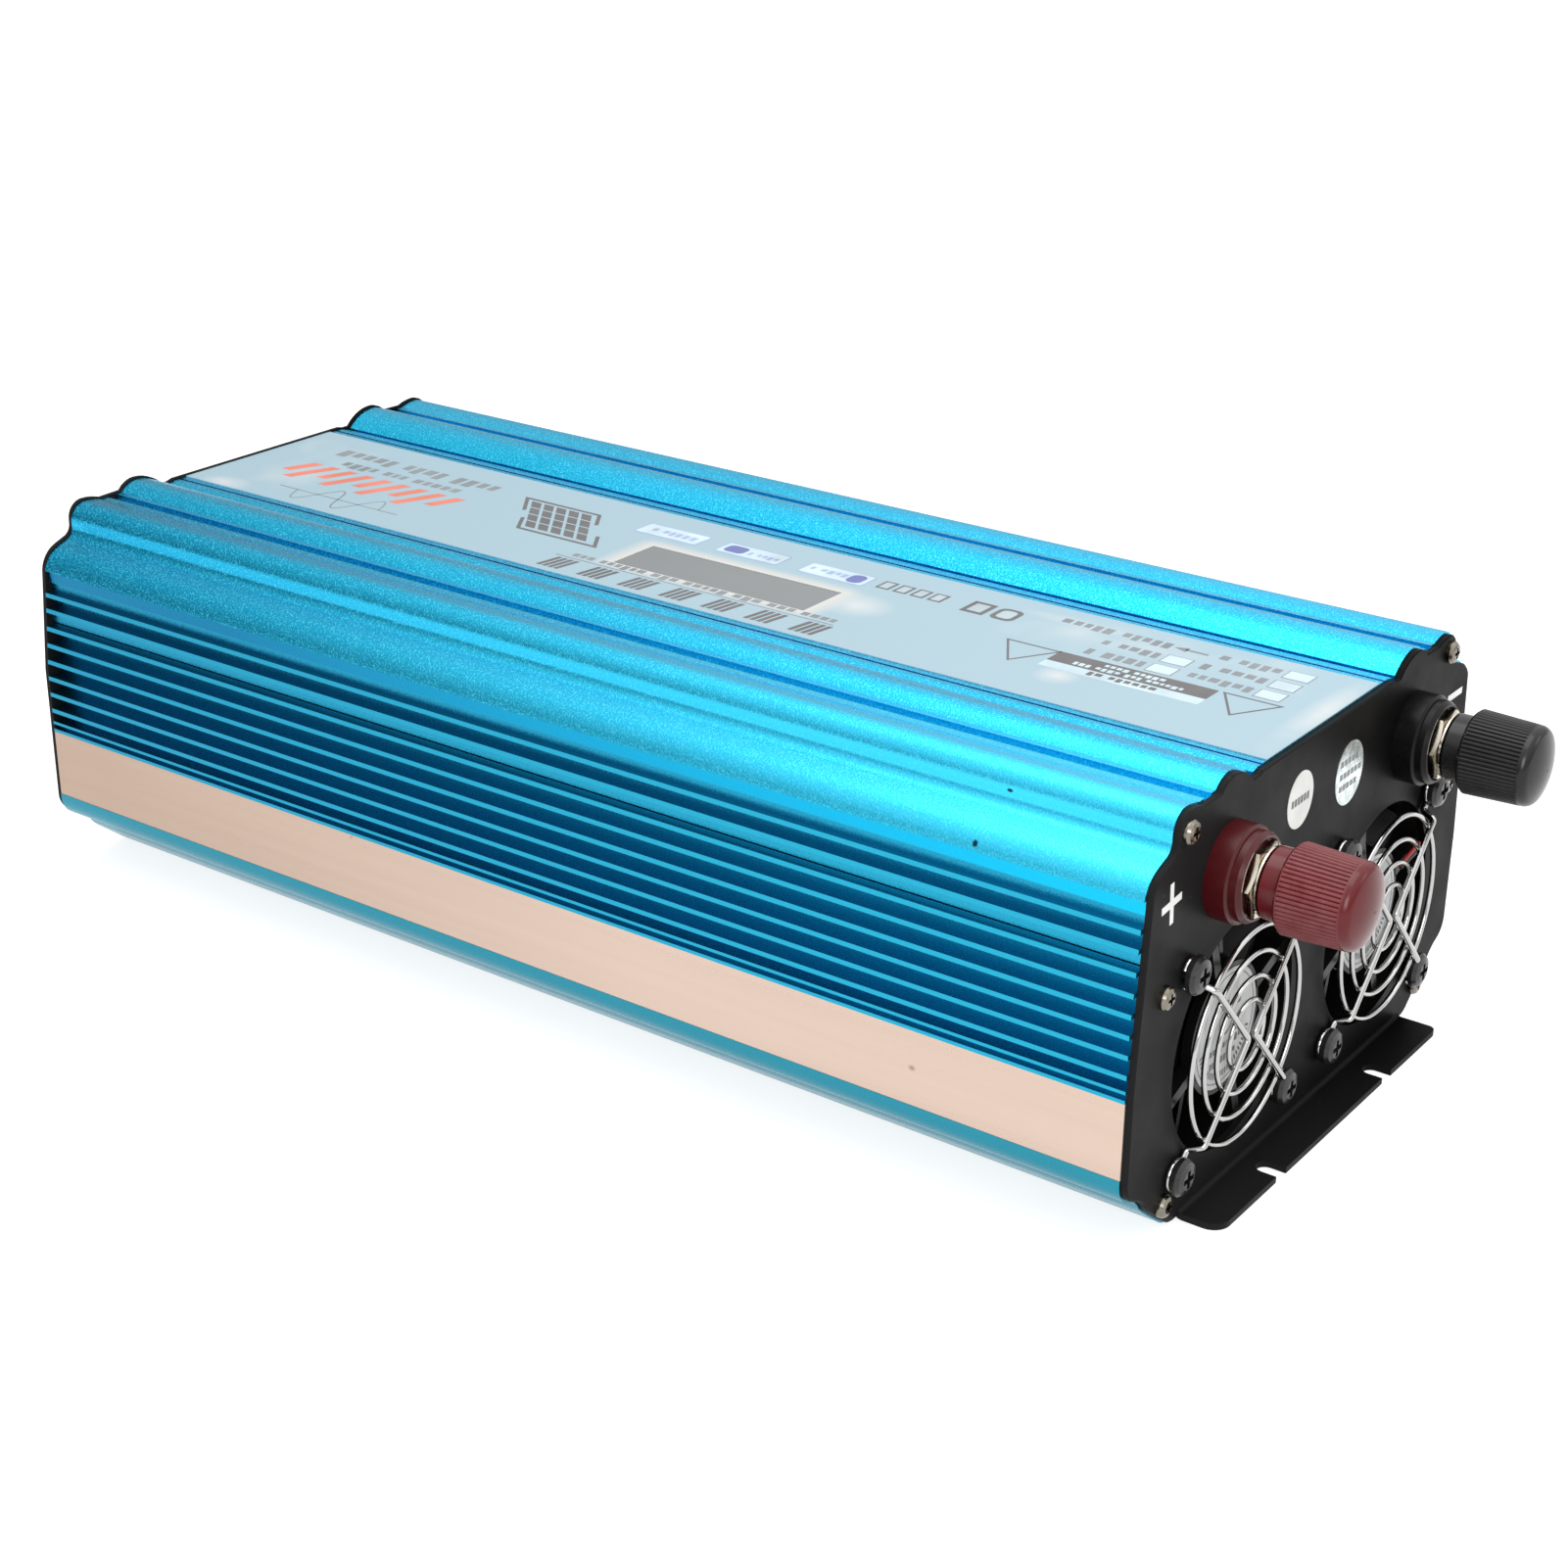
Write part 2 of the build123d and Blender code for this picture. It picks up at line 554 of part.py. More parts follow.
def knob():
    lean = (KNURL_BIG - KNURL_SMALL) / (KNURL_END - KNURL_START)
    middle = (KNURL_START + KNURL_END) / 2
    notch = extrude(Rot(0, 0, 45) * Rectangle(NOTCH, NOTCH), (KNURL_END - KNURL_START) / 2 - 0.8, both=True)
    notch = Rot(90 + lean * 57.3, 0, 0) * notch
    notch = Pos(0, FRONT - middle, (KNURL_BIG + KNURL_SMALL) / 2 + 0.05) * notch
    turns = [Pos(TERMINAL_X, 0, TERMINAL_Z) * Rot(0, k * 360 / RIDGE_COUNT, 0) * notch for k in range(RIDGE_COUNT)]
    return knob_body() - turns


def knob_insert():
    return post([
        (STUD + RUNNING, 12.0), (INSERT - 0.02, 12.0), (INSERT - 0.02, STUD_TIP + 1.4),
        (STUD + RUNNING, STUD_TIP + 1.4),
    ])


def place(shape, side):
    """Terminal pieces are made at the plus X side; the left set is the same piece moved over."""
    return shape if side > 0 else Pos(-2 * TERMINAL_X, 0, 0) * shape


# ---- label, display, stickers ----
def top_label():
    x_low, x_high, y_low, y_high = WINDOW
    film = block((-LABEL_HALF, LABEL_HALF), (-CASE_HALF, CASE_HALF), (TOP_Z, TOP_Z + LABEL_THICK))
    return film - block((x_low, x_high), (y_low, y_high), (TOP_Z - 1, TOP_Z + 1))


def display_window():
    x_low, x_high, y_low, y_high = WINDOW
    return block((x_low + 0.1, x_high - 0.1), (y_low + 0.1, y_high - 0.1), (TOP_Z - 1.5, TOP_Z + 0.1))


def display_module():
    x_low, x_high, y_low, y_high = WINDOW
    panel = block((x_low + 0.3, x_high - 0.3), (y_low + 0.3, y_high - 0.3), (TOP_Z - 5.5, TOP_Z - 1.6))
    return panel + block((x_low - 4, x_high + 4), (y_low - 5, y_high + 5), (TOP_Z - 7.1, TOP_Z - 5.5))


def plate_sticker(x, z, half_wide, half_high):
    return prism(Pos(x, z) * Ellipse(half_wide, half_high), FRONT - 0.15, FRONT)


# ---- rear fittings ----
def ac_socket(x):
    half = SOCKET_BODY / 2
    face = Pos(x, SOCKET_Z) * RectangleRounded(SOCKET_FACE, SOCKET_FACE, 4.0)
    socket = prism(face, REAR, REAR + SOCKET_PROUD)
    socket += block((x - half, x + half), (REAR - SOCKET_DEPTH, REAR), (SOCKET_Z - half, SOCKET_Z + half))
    socket -= prism(Pos(x, SOCKET_Z) * Circle(18.5), REAR + SOCKET_PROUD - 0.8, REAR + SOCKET_PROUD + 1)
    holes = Pos(0, 9.5) * (Circle(2.9) + Pos(0, 1.4) * Rectangle(4.4, 8.2))
    for way in (-1, 1):
        holes += Pos(way * 7.6, -4.0) * (Circle(2.7) + Rectangle(2.4, 8.4) + Rectangle(7.6, 3.2))
        holes += Pos(way * 7.6, -4.0) * Rot(0, 0, way * 30) * Rectangle(2.2, 9.6)
    return socket - prism(Pos(x, SOCKET_Z) * holes, REAR - 15, REAR + SOCKET_PROUD + 1)


def switch_frame():
    half_x, half_z = ROCKER_WIDTH / 2 + 0.35, ROCKER_HALF + 1.6
    frame = prism(Pos(SWITCH_X, SWITCH_Z) * RectangleRounded(25.5, 31.0, 1.5), REAR, REAR + 2.0)
    frame += block((SWITCH_X - 11, SWITCH_X + 11), (REAR - 20, REAR), (SWITCH_Z - 13.7, SWITCH_Z + 13.7))
    frame -= block((SWITCH_X - half_x, SWITCH_X + half_x), (REAR - 14, REAR + 3),
                   (SWITCH_Z - half_z, SWITCH_Z + half_z))
    pivot = Pos(SWITCH_X, REAR - 3.5, SWITCH_Z) * Rot(0, 90, 0)
    return frame - pivot * Cylinder(SHAFT + RUNNING, ROCKER_WIDTH + 4.4)


def rocker():
    """Rocker at its off position, on two pins; positive travel turns it on."""
    outline = [
        (-ROCKER_HALF, 5.6), (-7, 4.9), (0, 4.3), (7, 4.9), (ROCKER_HALF, 5.6), (10.2, 1.0), (7.4, -4.0),
        (2.5, -7.2), (-2.5, -7.2), (-7.4, -4.0), (-10.2, 1.0),
    ]
    side_face = make_face(Polyline(*[(out, up) for up, out in outline], close=True))
    body = extrude(Plane.YZ * side_face, ROCKER_WIDTH / 2, both=True)
    body += Rot(0, 90, 0) * Cylinder(SHAFT, ROCKER_WIDTH + 3.6)
    return Pos(SWITCH_X, REAR - 3.5, SWITCH_Z) * Rot(-ROCKER_TILT, 0, 0) * body


def usb_socket():
    x, z = USB
    bezel = prism(Pos(x, z) * RectangleRounded(20.0, 13.0, 1.5), REAR, REAR + 1.6)
    socket = bezel + block((x - 8, x + 8), (REAR - 16, REAR), (z - 5, z + 5))
    socket -= block((x - 6.3, x + 6.3), (REAR - 11, REAR + 2), (z - 2.5, z + 2.5))
    return socket + block((x - 5.4, x + 5.4), (REAR - 12, REAR - 1), (z + 0.2, z + 2.0))


def status_lamps():
    lamps = []
    for x, z in LAMPS:
        lens = mirror(turned(x, z, [
            (0, FRONT - 3.0), (1.5, FRONT - 2.6), (2.4, FRONT - 1.4), (2.5, FRONT - 0.8), (3.6, FRONT - 0.8),
            (3.6, FRONT), (2.5, FRONT), (2.5, FRONT + 7), (0, FRONT + 7),
        ]), Plane.XZ)
        lamps.append(lens)
    return group(lamps)


# ---- inside ----
def main_board():
    board = block((-BOARD_HALF, BOARD_HALF), (BOARD_FROM, BOARD_TO), (BOARD_Z, BOARD_TOP))
    for x, y in STANDOFFS:
        board -= upright(x, y, 1.7, BOARD_Z - 1, BOARD_TOP + 1)
    return board


def board_standoffs():
    return group(
        upright(x, y, 3.2, WALL, BOARD_Z) - upright(x, y, 1.5, WALL - 1, BOARD_Z + 1) for x, y in STANDOFFS
    )


def board_screws():
    return group(
        upright(x, y, 2.8, BOARD_TOP, BOARD_TOP + 2) + upright(x, y, 1.45, WALL + 1, BOARD_TOP)
        for x, y in STANDOFFS
    )


TRANSFORMERS = (-78.0, -34.0, 10.0)
CHOKE_Y = 88.0


def transformer_core(y):
    """Ferrite frame with a centre leg, standing across the case."""
    frame = block((-28, 28), (y - 11, y + 11), (BOARD_TOP + 5, BOARD_TOP + 57))
    for way in (-1, 1):
        frame -= block((way * 13.5 - 6.0, way * 13.5 + 6.0), (y - 12, y + 12), (BOARD_TOP + 13, BOARD_TOP + 49))
    return frame


def transformer_coil(y):
    """Wound bobbin round the core's centre leg, on two rows of pins."""
    coil = Pos(0, y, BOARD_TOP + 31) * Box(37, 33, 34)
    coil = fillet(coil.edges().filter_by(Axis.Z), 5)
    coil -= Pos(0, y, BOARD_TOP + 31) * Box(15.4, 22.4, 36)
    coil -= block((-19.2, -18.2), (y - 11.2, y + 11.2), (BOARD_TOP, BOARD_TOP + 60))
    coil -= block((18.2, 19.2), (y - 11.2, y + 11.2), (BOARD_TOP, BOARD_TOP + 60))
    foot = block((-20, 20), (y - 15, y + 15), (BOARD_TOP + 1, BOARD_TOP + 4.8))
    legs = [block((x, x + 1.2), (y + way * 13 - 0.6, y + way * 13 + 0.6), (BOARD_TOP, BOARD_TOP + 2))
            for x in range(-18, 17, 6) for way in (-1, 1)]
    posts = [block((-7, 7), (y + way * 13.5 - 1, y + way * 13.5 + 1), (BOARD_TOP + 3, BOARD_TOP + 16))
             for way in (-1, 1)]
    return coil + foot + legs + posts


def choke_core():
    z_low, z_high = BOARD_TOP + 6, BOARD_TOP + 26
    return upright(0, CHOKE_Y, 24, z_low, z_high) - upright(0, CHOKE_Y, 13, z_low - 1, z_high + 1)


def choke_winding():
    z_mid = BOARD_TOP + 16
    loops = []
    for k in range(22):
        loop = Pos(18.5, 0, z_mid) * (Box(17.4, 1.9, 26.4) - Box(11.4, 3, 20.4))
        loops.append(Pos(0, CHOKE_Y, 0) * Rot(0, 0, 30 + k * 300 / 21) * loop)
    seat = upright(0, CHOKE_Y, 20, BOARD_TOP, BOARD_TOP + 2.8) - upright(0, CHOKE_Y, 14, BOARD_TOP - 1, BOARD_TOP + 4)
    return group(loops + [seat])


def can_capacitor(x, y, radius, high):
    """Aluminium can on the board: crimped near its foot, with a vented top."""
    profile = [
        (0, 0), (radius, 0), (radius, 2), (radius - 0.7, 3), (radius, 4), (radius, high - 1), (radius - 1, high),
        (radius * 0.75, high), (radius * 0.75, high - 0.4), (0, high - 0.4),
    ]
    can = revolve(Plane.XZ * make_face(Polyline(*profile, close=True)), Axis.Z)
    return Pos(x, y, BOARD_TOP) * can


def input_capacitors():
    return group(can_capacitor(x, y, 8.0, 32.0) for x in (-45, -27, -9, 9, 27, 45) for y in (-118,))


def bus_capacitors():
    return group(can_capacitor(x, y, 15.0, 46.0) for x, y in ((-20, 46), (20, 46)))


BAR_Y = (-104.0, 76.0)
TRANSISTOR_Y = [BAR_Y[0] + 12 + k * 22.0 for k in range(8)]


def transistor_bar(side):
    """Heat spreader bar pressed on the side wall, over a row of transistors."""
    bar = block((66.2, 71.0), BAR_Y, (BOARD_TOP + 4, BOARD_TOP + 36))
    bar += block((71.0, CAVITY_HALF), BAR_Y, (BOARD_TOP + 28, BOARD_TOP + 36))
    return bar if side > 0 else mirror(bar, Plane.YZ)


def power_transistors():
    pieces = []
    for y in TRANSISTOR_Y:
        body = block((61.6, 66.2), (y - 5, y + 5), (BOARD_TOP + 7, BOARD_TOP + 16))
        body += block((64.9, 66.2), (y - 5, y + 5), (BOARD_TOP + 16, BOARD_TOP + 22))
        for dy in (-2.54, 0, 2.54):
            body += block((63.0, 63.8), (y + dy - 0.4, y + dy + 0.4), (BOARD_TOP, BOARD_TOP + 7))
        pieces += [body, mirror(body, Plane.YZ)]
    return group(pieces)


def blade_fuses():
    fuses = []
    for k in range(4):
        x = -24 + k * 16.0
        holder = block((x - 5, x + 5), (-104, -98), (BOARD_TOP, BOARD_TOP + 8))
        fuses.append(holder + block((x - 6, x + 6), (-103, -99), (BOARD_TOP + 8, BOARD_TOP + 17)))
    return group(fuses)


def control_board():
    """Small upright board with its chips and a header."""
    x = -50.0
    board = block((x, x + 1.6), (34, 104), (BOARD_TOP + 1, BOARD_TOP + 42))
    for y in (42, 62, 82):
        board += block((x + 1.6, x + 3.4), (y, y + 12), (BOARD_TOP + 18, BOARD_TOP + 30))
    return board + block((x - 2.4, x), (44, 94), (BOARD_TOP, BOARD_TOP + 5))


def dc_cable(side):
    """Lead with a ring lug, from the stud's tail down to the board behind the fans."""
    x, z = TERMINAL_X, TERMINAL_Z
    lug = rod(x, z, 8.0, FRONT + 13.0, FRONT + 14.6) - rod(x, z, STUD + 0.05, FRONT + 12, FRONT + 16)
    lug += block((x - 4, x + 4), (FRONT + 13.0, FRONT + 14.6), (z - 12, z - 7))
    route = [(x, FRONT + 14.2, z - 10), (x, -141.5, z - 10), (x, -141.5, 20), (x, -132, 20), (x, -132, BOARD_TOP)]
    lead = tube(route, 3.2, 3.4)
    cable = lug + lead
    return cable if side > 0 else mirror(cable, Plane.YZ)


def ac_leads():
    leads = []
    for k, x in enumerate((SOCKETS[0] - 7, SOCKETS[0] + 7, SOCKETS[1] - 7, SOCKETS[1] + 7)):
        end_y = 124.0 - k
        route = [(x, REAR - SOCKET_DEPTH, SOCKET_Z), (x, end_y, SOCKET_Z), (x, end_y, BOARD_TOP)]
        leads.append(tube(route, 1.5, 6.0))
    return group(leads)


def fan_leads():
    leads = []
    for side in (-1, 1):
        x = side * (FAN_X - 20)
        back = FRONT + SHEET + FAN_DEPTH
        route = [(x, back, FAN_Z + 29), (x, back + 5, FAN_Z + 29), (x, back + 5, 30), (x, -131, 30),
                 (x, -131, BOARD_TOP)]
        leads.append(tube(route, 1.0, 2.2))
    return group(leads)


# ---- nodes ----
def all_nodes():
    section = case_section()
    front_screws = case_screws()
    nodes = {
        "upper_shell": upper_shell(section),
        "lower_shell": lower_shell(section),
        "front_plate": front_plate(),
        "rear_plate": rear_plate(),
        "top_label": top_label(),
        "display_window": display_window(),
        "display_module": display_module(),
        "front_case_screws": front_screws,
        "rear_case_screws": mirror(front_screws, Plane.XZ),
        "fan_screws": fan_screws(),
        "sticker_white": plate_sticker(-13.1, 86.7, 6.3, 6.9),
        "sticker_silver": plate_sticker(12.4, 84.6, 7.2, 7.9),
        "switch_frame": switch_frame(),
        "rocker": rocker(),
        "usb_socket": usb_socket(),
        "status_lamps": status_lamps(),
        "main_board": main_board(),
        "board_standoffs": board_standoffs(),
        "board_screws": board_screws(),
        "control_board": control_board(),
        "transformer_cores": group(transformer_core(y) for y in TRANSFORMERS),
        "transformer_coils": group(transformer_coil(y) for y in TRANSFORMERS),
        "choke_core": choke_core(),
        "choke_winding": choke_winding(),
        "input_capacitors": input_capacitors(),
        "bus_capacitors": bus_capacitors(),
        "power_transistors": power_transistors(),
        "blade_fuses": blade_fuses(),
        "ac_leads": ac_leads(),
        "fan_leads": fan_leads(),
    }
    for number, x in enumerate(SOCKETS, 1):
        nodes[f"ac_socket_{number}"] = ac_socket(x)
    for side, name in ((-1, "left"), (1, "right")):
        nodes[f"side_strip_{name}"] = side_strip(side)
        nodes[f"fan_frame_{name}"] = fan_frame(side)
        nodes[f"fan_rotor_{name}"] = fan_rotor(side)
        nodes[f"fan_sticker_{name}"] = fan_sticker(side)
        nodes[f"fan_guard_{name}"] = fan_guard(side)
        nodes[f"transistor_bar_{name}"] = transistor_bar(side)
    pieces = {
        "terminal_base": post_base(),
        "terminal_stud": post_stud(),
        "terminal_nut": hex_nut(FRONT - 10.0, FRONT - 7.2),
        "terminal_inner_nut": inner_nut(),
        "knob_washer": knob_washer(),
        "knob": knob(),
        "knob_insert": knob_insert(),
    }
    for side, name in ((-1, "plus"), (1, "minus")):
        for piece, shape in pieces.items():
            nodes[f"{piece}_{name}"] = place(shape, side)
        nodes[f"dc_cable_{name}"] = dc_cable(side)
    return nodes


os.makedirs("parts", exist_ok=True)
for node, shape in all_nodes().items():
    export_step(shape, f"parts/{node}.step")
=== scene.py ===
import math
import random

import bmesh
import bpy
from mathutils import Matrix, Vector


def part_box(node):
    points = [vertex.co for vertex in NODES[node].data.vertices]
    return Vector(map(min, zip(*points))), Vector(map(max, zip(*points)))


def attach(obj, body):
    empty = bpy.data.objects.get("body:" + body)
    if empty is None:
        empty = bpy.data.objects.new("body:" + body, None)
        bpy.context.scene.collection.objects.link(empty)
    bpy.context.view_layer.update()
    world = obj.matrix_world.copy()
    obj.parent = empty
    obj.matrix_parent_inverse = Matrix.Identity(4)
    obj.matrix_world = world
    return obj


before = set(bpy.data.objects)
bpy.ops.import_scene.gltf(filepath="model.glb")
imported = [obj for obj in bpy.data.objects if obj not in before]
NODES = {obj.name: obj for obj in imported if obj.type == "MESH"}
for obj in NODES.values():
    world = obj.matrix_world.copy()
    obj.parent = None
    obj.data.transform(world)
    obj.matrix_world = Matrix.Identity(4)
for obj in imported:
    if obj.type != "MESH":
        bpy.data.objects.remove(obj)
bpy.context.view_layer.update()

MM = 0.001
rng = random.Random(7)


def node_box(name):
    """Lowest and highest corner of a CAD node, in millimetres."""
    low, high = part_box(name)
    return low / MM, high / MM


TOP = node_box("top_label")[1].z
STICKER, FACE = (corner.y for corner in node_box("sticker_white"))     # FACE is the plate's


# ---------------------------------------------------------------- camera
CAMERA_AT = (-0.5292, -0.4039, 0.3295)
CAMERA_AZIMUTH, CAMERA_ELEVATION, CAMERA_ROLL = -54.06, 23.45, 0.58
LENS = 62.24
SENSOR = 36


def make_camera():
    """The photo's camera: back points from the object to it, and it is rolled about that line."""
    angles = (CAMERA_AZIMUTH, CAMERA_ELEVATION, CAMERA_ROLL)
    azimuth, elevation, roll = (math.radians(angle) for angle in angles)
    level = math.cos(elevation)
    back = Vector((math.sin(azimuth) * level, -math.cos(azimuth) * level, math.sin(elevation)))
    right = Vector((math.cos(azimuth), math.sin(azimuth), 0))
    up = back.cross(right)
    across = right * math.cos(roll) + up * math.sin(roll)
    upward = up * math.cos(roll) - right * math.sin(roll)
    data = bpy.data.cameras.new("camera")
    data.lens = LENS
    data.sensor_width = SENSOR
    camera = bpy.data.objects.new("camera", data)
    turn = Matrix((across, upward, back)).transposed().to_4x4()
    camera.matrix_world = Matrix.Translation(CAMERA_AT) @ turn
    bpy.context.scene.collection.objects.link(camera)
    bpy.context.scene.camera = camera


make_camera()


# ---------------------------------------------------------------- finishes
class Finish:
    """One procedural material, built up from a few repeated steps."""

    def __init__(self, name, colour, rough, metal=0.0, **sockets):
        self.mat = bpy.data.materials.new(name)
        self.mat.use_nodes = True
        self.tree = self.mat.node_tree
        self.shader = self.tree.nodes["Principled BSDF"]
        self.set(**{"Base Color": (*colour, 1), "Roughness": rough, "Metallic": metal})
        self.set(**{key.replace("_", " "): value for key, value in sockets.items()})
        self.place = self.node("ShaderNodeTexCoord").outputs["Object"]

    def set(self, **values):
        for key, value in values.items():
            self.shader.inputs[key].default_value = value

    def node(self, kind, **values):
        made = self.tree.nodes.new(kind)
        for key, value in values.items():
            made.inputs[key].default_value = value
        return made

    def link(self, source, target):
        self.tree.links.new(source, target)

    def noise(self, scale, stretch=(1, 1, 1), detail=3.0, rough=0.55):
        """Noise with that many cells a metre, stretched along each axis."""
        mapping = self.node("ShaderNodeMapping", Scale=stretch)
        made = self.node("ShaderNodeTexNoise", Scale=scale, Detail=detail, Roughness=rough)
        self.link(self.place, mapping.inputs["Vector"])
        self.link(mapping.outputs["Vector"], made.inputs["Vector"])
        return made.outputs["Fac"]

    def math(self, operation, a, b=0.0):
        made = self.node("ShaderNodeMath")
        made.operation = operation
        for value, socket in ((a, made.inputs[0]), (b, made.inputs[1])):
            if isinstance(value, (int, float)):
                socket.default_value = value
            else:
                self.link(value, socket)
        return made.outputs["Value"]

    def spread(self, value, low, high, out_low=0.0, out_high=1.0):
        """Stretch the span low to high over the span out_low to out_high, and clamp it."""
        made = self.node("ShaderNodeMapRange")
        self.link(value, made.inputs["Value"])
        ends = (("From Min", low), ("From Max", high), ("To Min", out_low), ("To Max", out_high))
        for key, number in ends:
            made.inputs[key].default_value = number
        return made.outputs["Result"]

    def mix(self, share, a, b):
        """Colour a where share is 0 and colour b where it is 1."""
        made = self.node("ShaderNodeMix")
        made.data_type = "RGBA"
        for value, socket in ((share, made.inputs[0]), (a, made.inputs[6]), (b, made.inputs[7])):
            if isinstance(value, tuple):
                socket.default_value = (*value, 1)
            elif isinstance(value, (int, float)):
                socket.default_value = value
            else:
                self.link(value, socket)
        return made.outputs[2]

    def axis(self, letter):
        made = self.node("ShaderNodeSeparateXYZ")
        self.link(self.place, made.inputs["Vector"])
        return made.outputs[letter]

    def blob(self, centre, radii, soft=0.5):
        """1 inside an ellipsoid at centre, falling to 0 at its surface; both in millimetres."""
        shift = tuple(-c / r for c, r in zip(centre, radii))
        scale = tuple(1 / (r * MM) for r in radii)
        mapping = self.node("ShaderNodeMapping", Location=shift, Scale=scale)
        reach = self.node("ShaderNodeVectorMath")
        reach.operation = "LENGTH"
        self.link(self.place, mapping.inputs["Vector"])
        self.link(mapping.outputs["Vector"], reach.inputs[0])
        return self.spread(reach.outputs["Value"], 1 - soft, 1, 1, 0)

    def colour(self, value):
        self.link(value, self.shader.inputs["Base Color"])
        return self

    def rough(self, value):
        self.link(value, self.shader.inputs["Roughness"])
        return self

    def bump(self, height, strength, distance=0.0002):
        made = self.node("ShaderNodeBump", Strength=strength, Distance=distance)
        self.link(height, made.inputs["Height"])
        last = self.shader.inputs["Normal"]
        if last.is_linked:
            self.link(last.links[0].from_socket, made.inputs["Normal"])
        self.link(made.outputs["Normal"], last)
        return self


# places on the case's section, in metres
LIP, FASCIA = 0.0869, 0.0836            # the flat band under the shoulder lies between these
FIN_TOP, GROOVES_TO = 0.0808, 0.060     # painted shade in the grooves grows from the second height up to the first
STRIP_TOP, STRIP_LOW = 0.0405, 0.0216
GROOVE_REACH, TIP_REACH = 0.0812, 0.0829    # the painted shade in the grooves fades between these half widths
LEAN_FROM, LEAN = 0.058, 0.085          # above this height the side leans in, this much per metre
LEFT_LIGHT_FROM, LEFT_LIGHT_TO = -0.045, -0.060     # the left ridges' painted light, a painted highlight at the fans' end and painted shade at the far end, sets in between these places
EDGE = 0.0001                           # width of a sharp change of colour

BLUE = {"deep": (0.012, 0.43, 0.70), "plain": (0.020, 0.48, 0.78), "spark": (0.085, 0.70, 0.94),
        # painted light: the left tone for the fans' end is a painted highlight, the one for the far
        # end painted shade
        "left_highlight_near": (0.042, 0.61, 0.90), "left_shade_far": (0.006, 0.33, 0.58),
        # painted shade: the two side tones
        "side_shade_near": (0.024, 0.36, 0.54), "side_shade_far": (0.018, 0.27, 0.43),
        # the tone for the grooves is painted shade
        "band": (0.010, 0.48, 0.78), "groove": (0.009, 0.13, 0.27),
        "foot": (0.030, 0.25, 0.34), "chip": (0.01, 0.05, 0.08)}

# places in millimetres, each with the radii of an ellipsoid or of a cloud
CHIPS = [((-80.8, -129.0, 88.6), (2.4, 0.8, 0.9)), ((-70.5, -131.1, 98.0), (1.2, 0.9, 0.5))]
SCUFF = ((-83.4, -116.7, 31.1), (2.6, 1.2, 0.9))
CLOUDS = [((-1.5, -43, 101.3), (9, 11, 20)), ((-13, -108, 101.3), (6, 6, 20)),
          ((0, -168, 101.3), (30, 5, 20)), ((-26, 157, 101.3), (6, 9, 20)),
          ((21, -103, 101.3), (4, 26, 20))]


def groove_shade(f, along, height, side):
    """Painted shade on the side: darker in the grooves between the fins, and on the far part of the
    band.
    """
    above = f.math("MAXIMUM", f.math("SUBTRACT", height, LEAN_FROM), 0.0)
    reach = f.math("ADD", f.math("ABSOLUTE", f.axis("X")), f.math("MULTIPLY", above, LEAN))
    under_band = f.spread(height, FASCIA, FASCIA + EDGE, 1, 0)
    fins = f.math("MULTIPLY", under_band, f.spread(height, STRIP_TOP, STRIP_TOP + 3 * EDGE))
    # painted shade: darker in the grooves between the fins, more towards their top
    deep = f.math("MULTIPLY", f.spread(reach, GROOVE_REACH, TIP_REACH, 1, 0),
                  f.spread(height, GROOVES_TO, FIN_TOP, 0.0, 0.35))
    # painted shade: the band under the lip darkens towards the far end
    band = f.math("MULTIPLY", f.spread(height, FASCIA, FASCIA + EDGE), side)
    band = f.math("MULTIPLY", band, f.spread(along, -0.16, 0.10, 0.0, 0.85))
    return f.math("ADD", f.math("MULTIPLY", deep, fins), band)


def anodised_blue():
    """Sandblasted, dyed aluminium: sparkling grain, faint lines along it, painted shade in the
    grooves, on the sides and far along the band, and painted light on the left ridges.
    """
    f = Finish("anodised_blue", BLUE["plain"], 0.3, metal=1.0)
    grain = f.noise(2300, detail=1, rough=0.5)
    streak = f.noise(120, stretch=(12, 0.22, 12), detail=2)
    cloud = f.noise(14, stretch=(1, 0.4, 1))
    along, height = f.axis("Y"), f.axis("Z")

    top = f.mix(f.spread(cloud, 0.35, 0.65), BLUE["deep"], BLUE["plain"])
    # painted highlight on the left ridges at the fans' end, painted shade towards the far end
    left = f.mix(f.spread(along, -0.13, 0.16), BLUE["left_highlight_near"], BLUE["left_shade_far"])
    top = f.mix(f.spread(f.axis("X"), LEFT_LIGHT_FROM, LEFT_LIGHT_TO), top, left)
    top = f.mix(f.spread(grain, 0.52, 0.70), top, BLUE["spark"])

    side = f.spread(height, LIP - EDGE, LIP + EDGE, 1, 0)
    # painted shade on the sides below the lip: darker than the top, darker still towards the far end
    low = f.mix(f.spread(along, -0.10, 0.17), BLUE["side_shade_near"], BLUE["side_shade_far"])
    low = f.mix(f.spread(height, FASCIA, FASCIA + EDGE), low, BLUE["band"])
    low = f.mix(f.spread(height, STRIP_LOW, STRIP_LOW + EDGE, 1, 0), low, BLUE["foot"])

    tone = f.mix(side, top, low)
    # painted shade: the grooves and the far part of the band take the dark tone of the grooves
    tone = f.mix(groove_shade(f, along, height, side), tone, BLUE["groove"])
    for chip, radii in CHIPS:
        tone = f.mix(f.blob(chip, radii, 0.4), tone, BLUE["chip"])
    f.colour(tone)
    f.rough(f.spread(grain, 0.35, 0.65, 0.23, 0.36))
    f.bump(grain, 0.20, 0.0002)
    f.bump(streak, 0.14, 0.0001)
    return f.mat


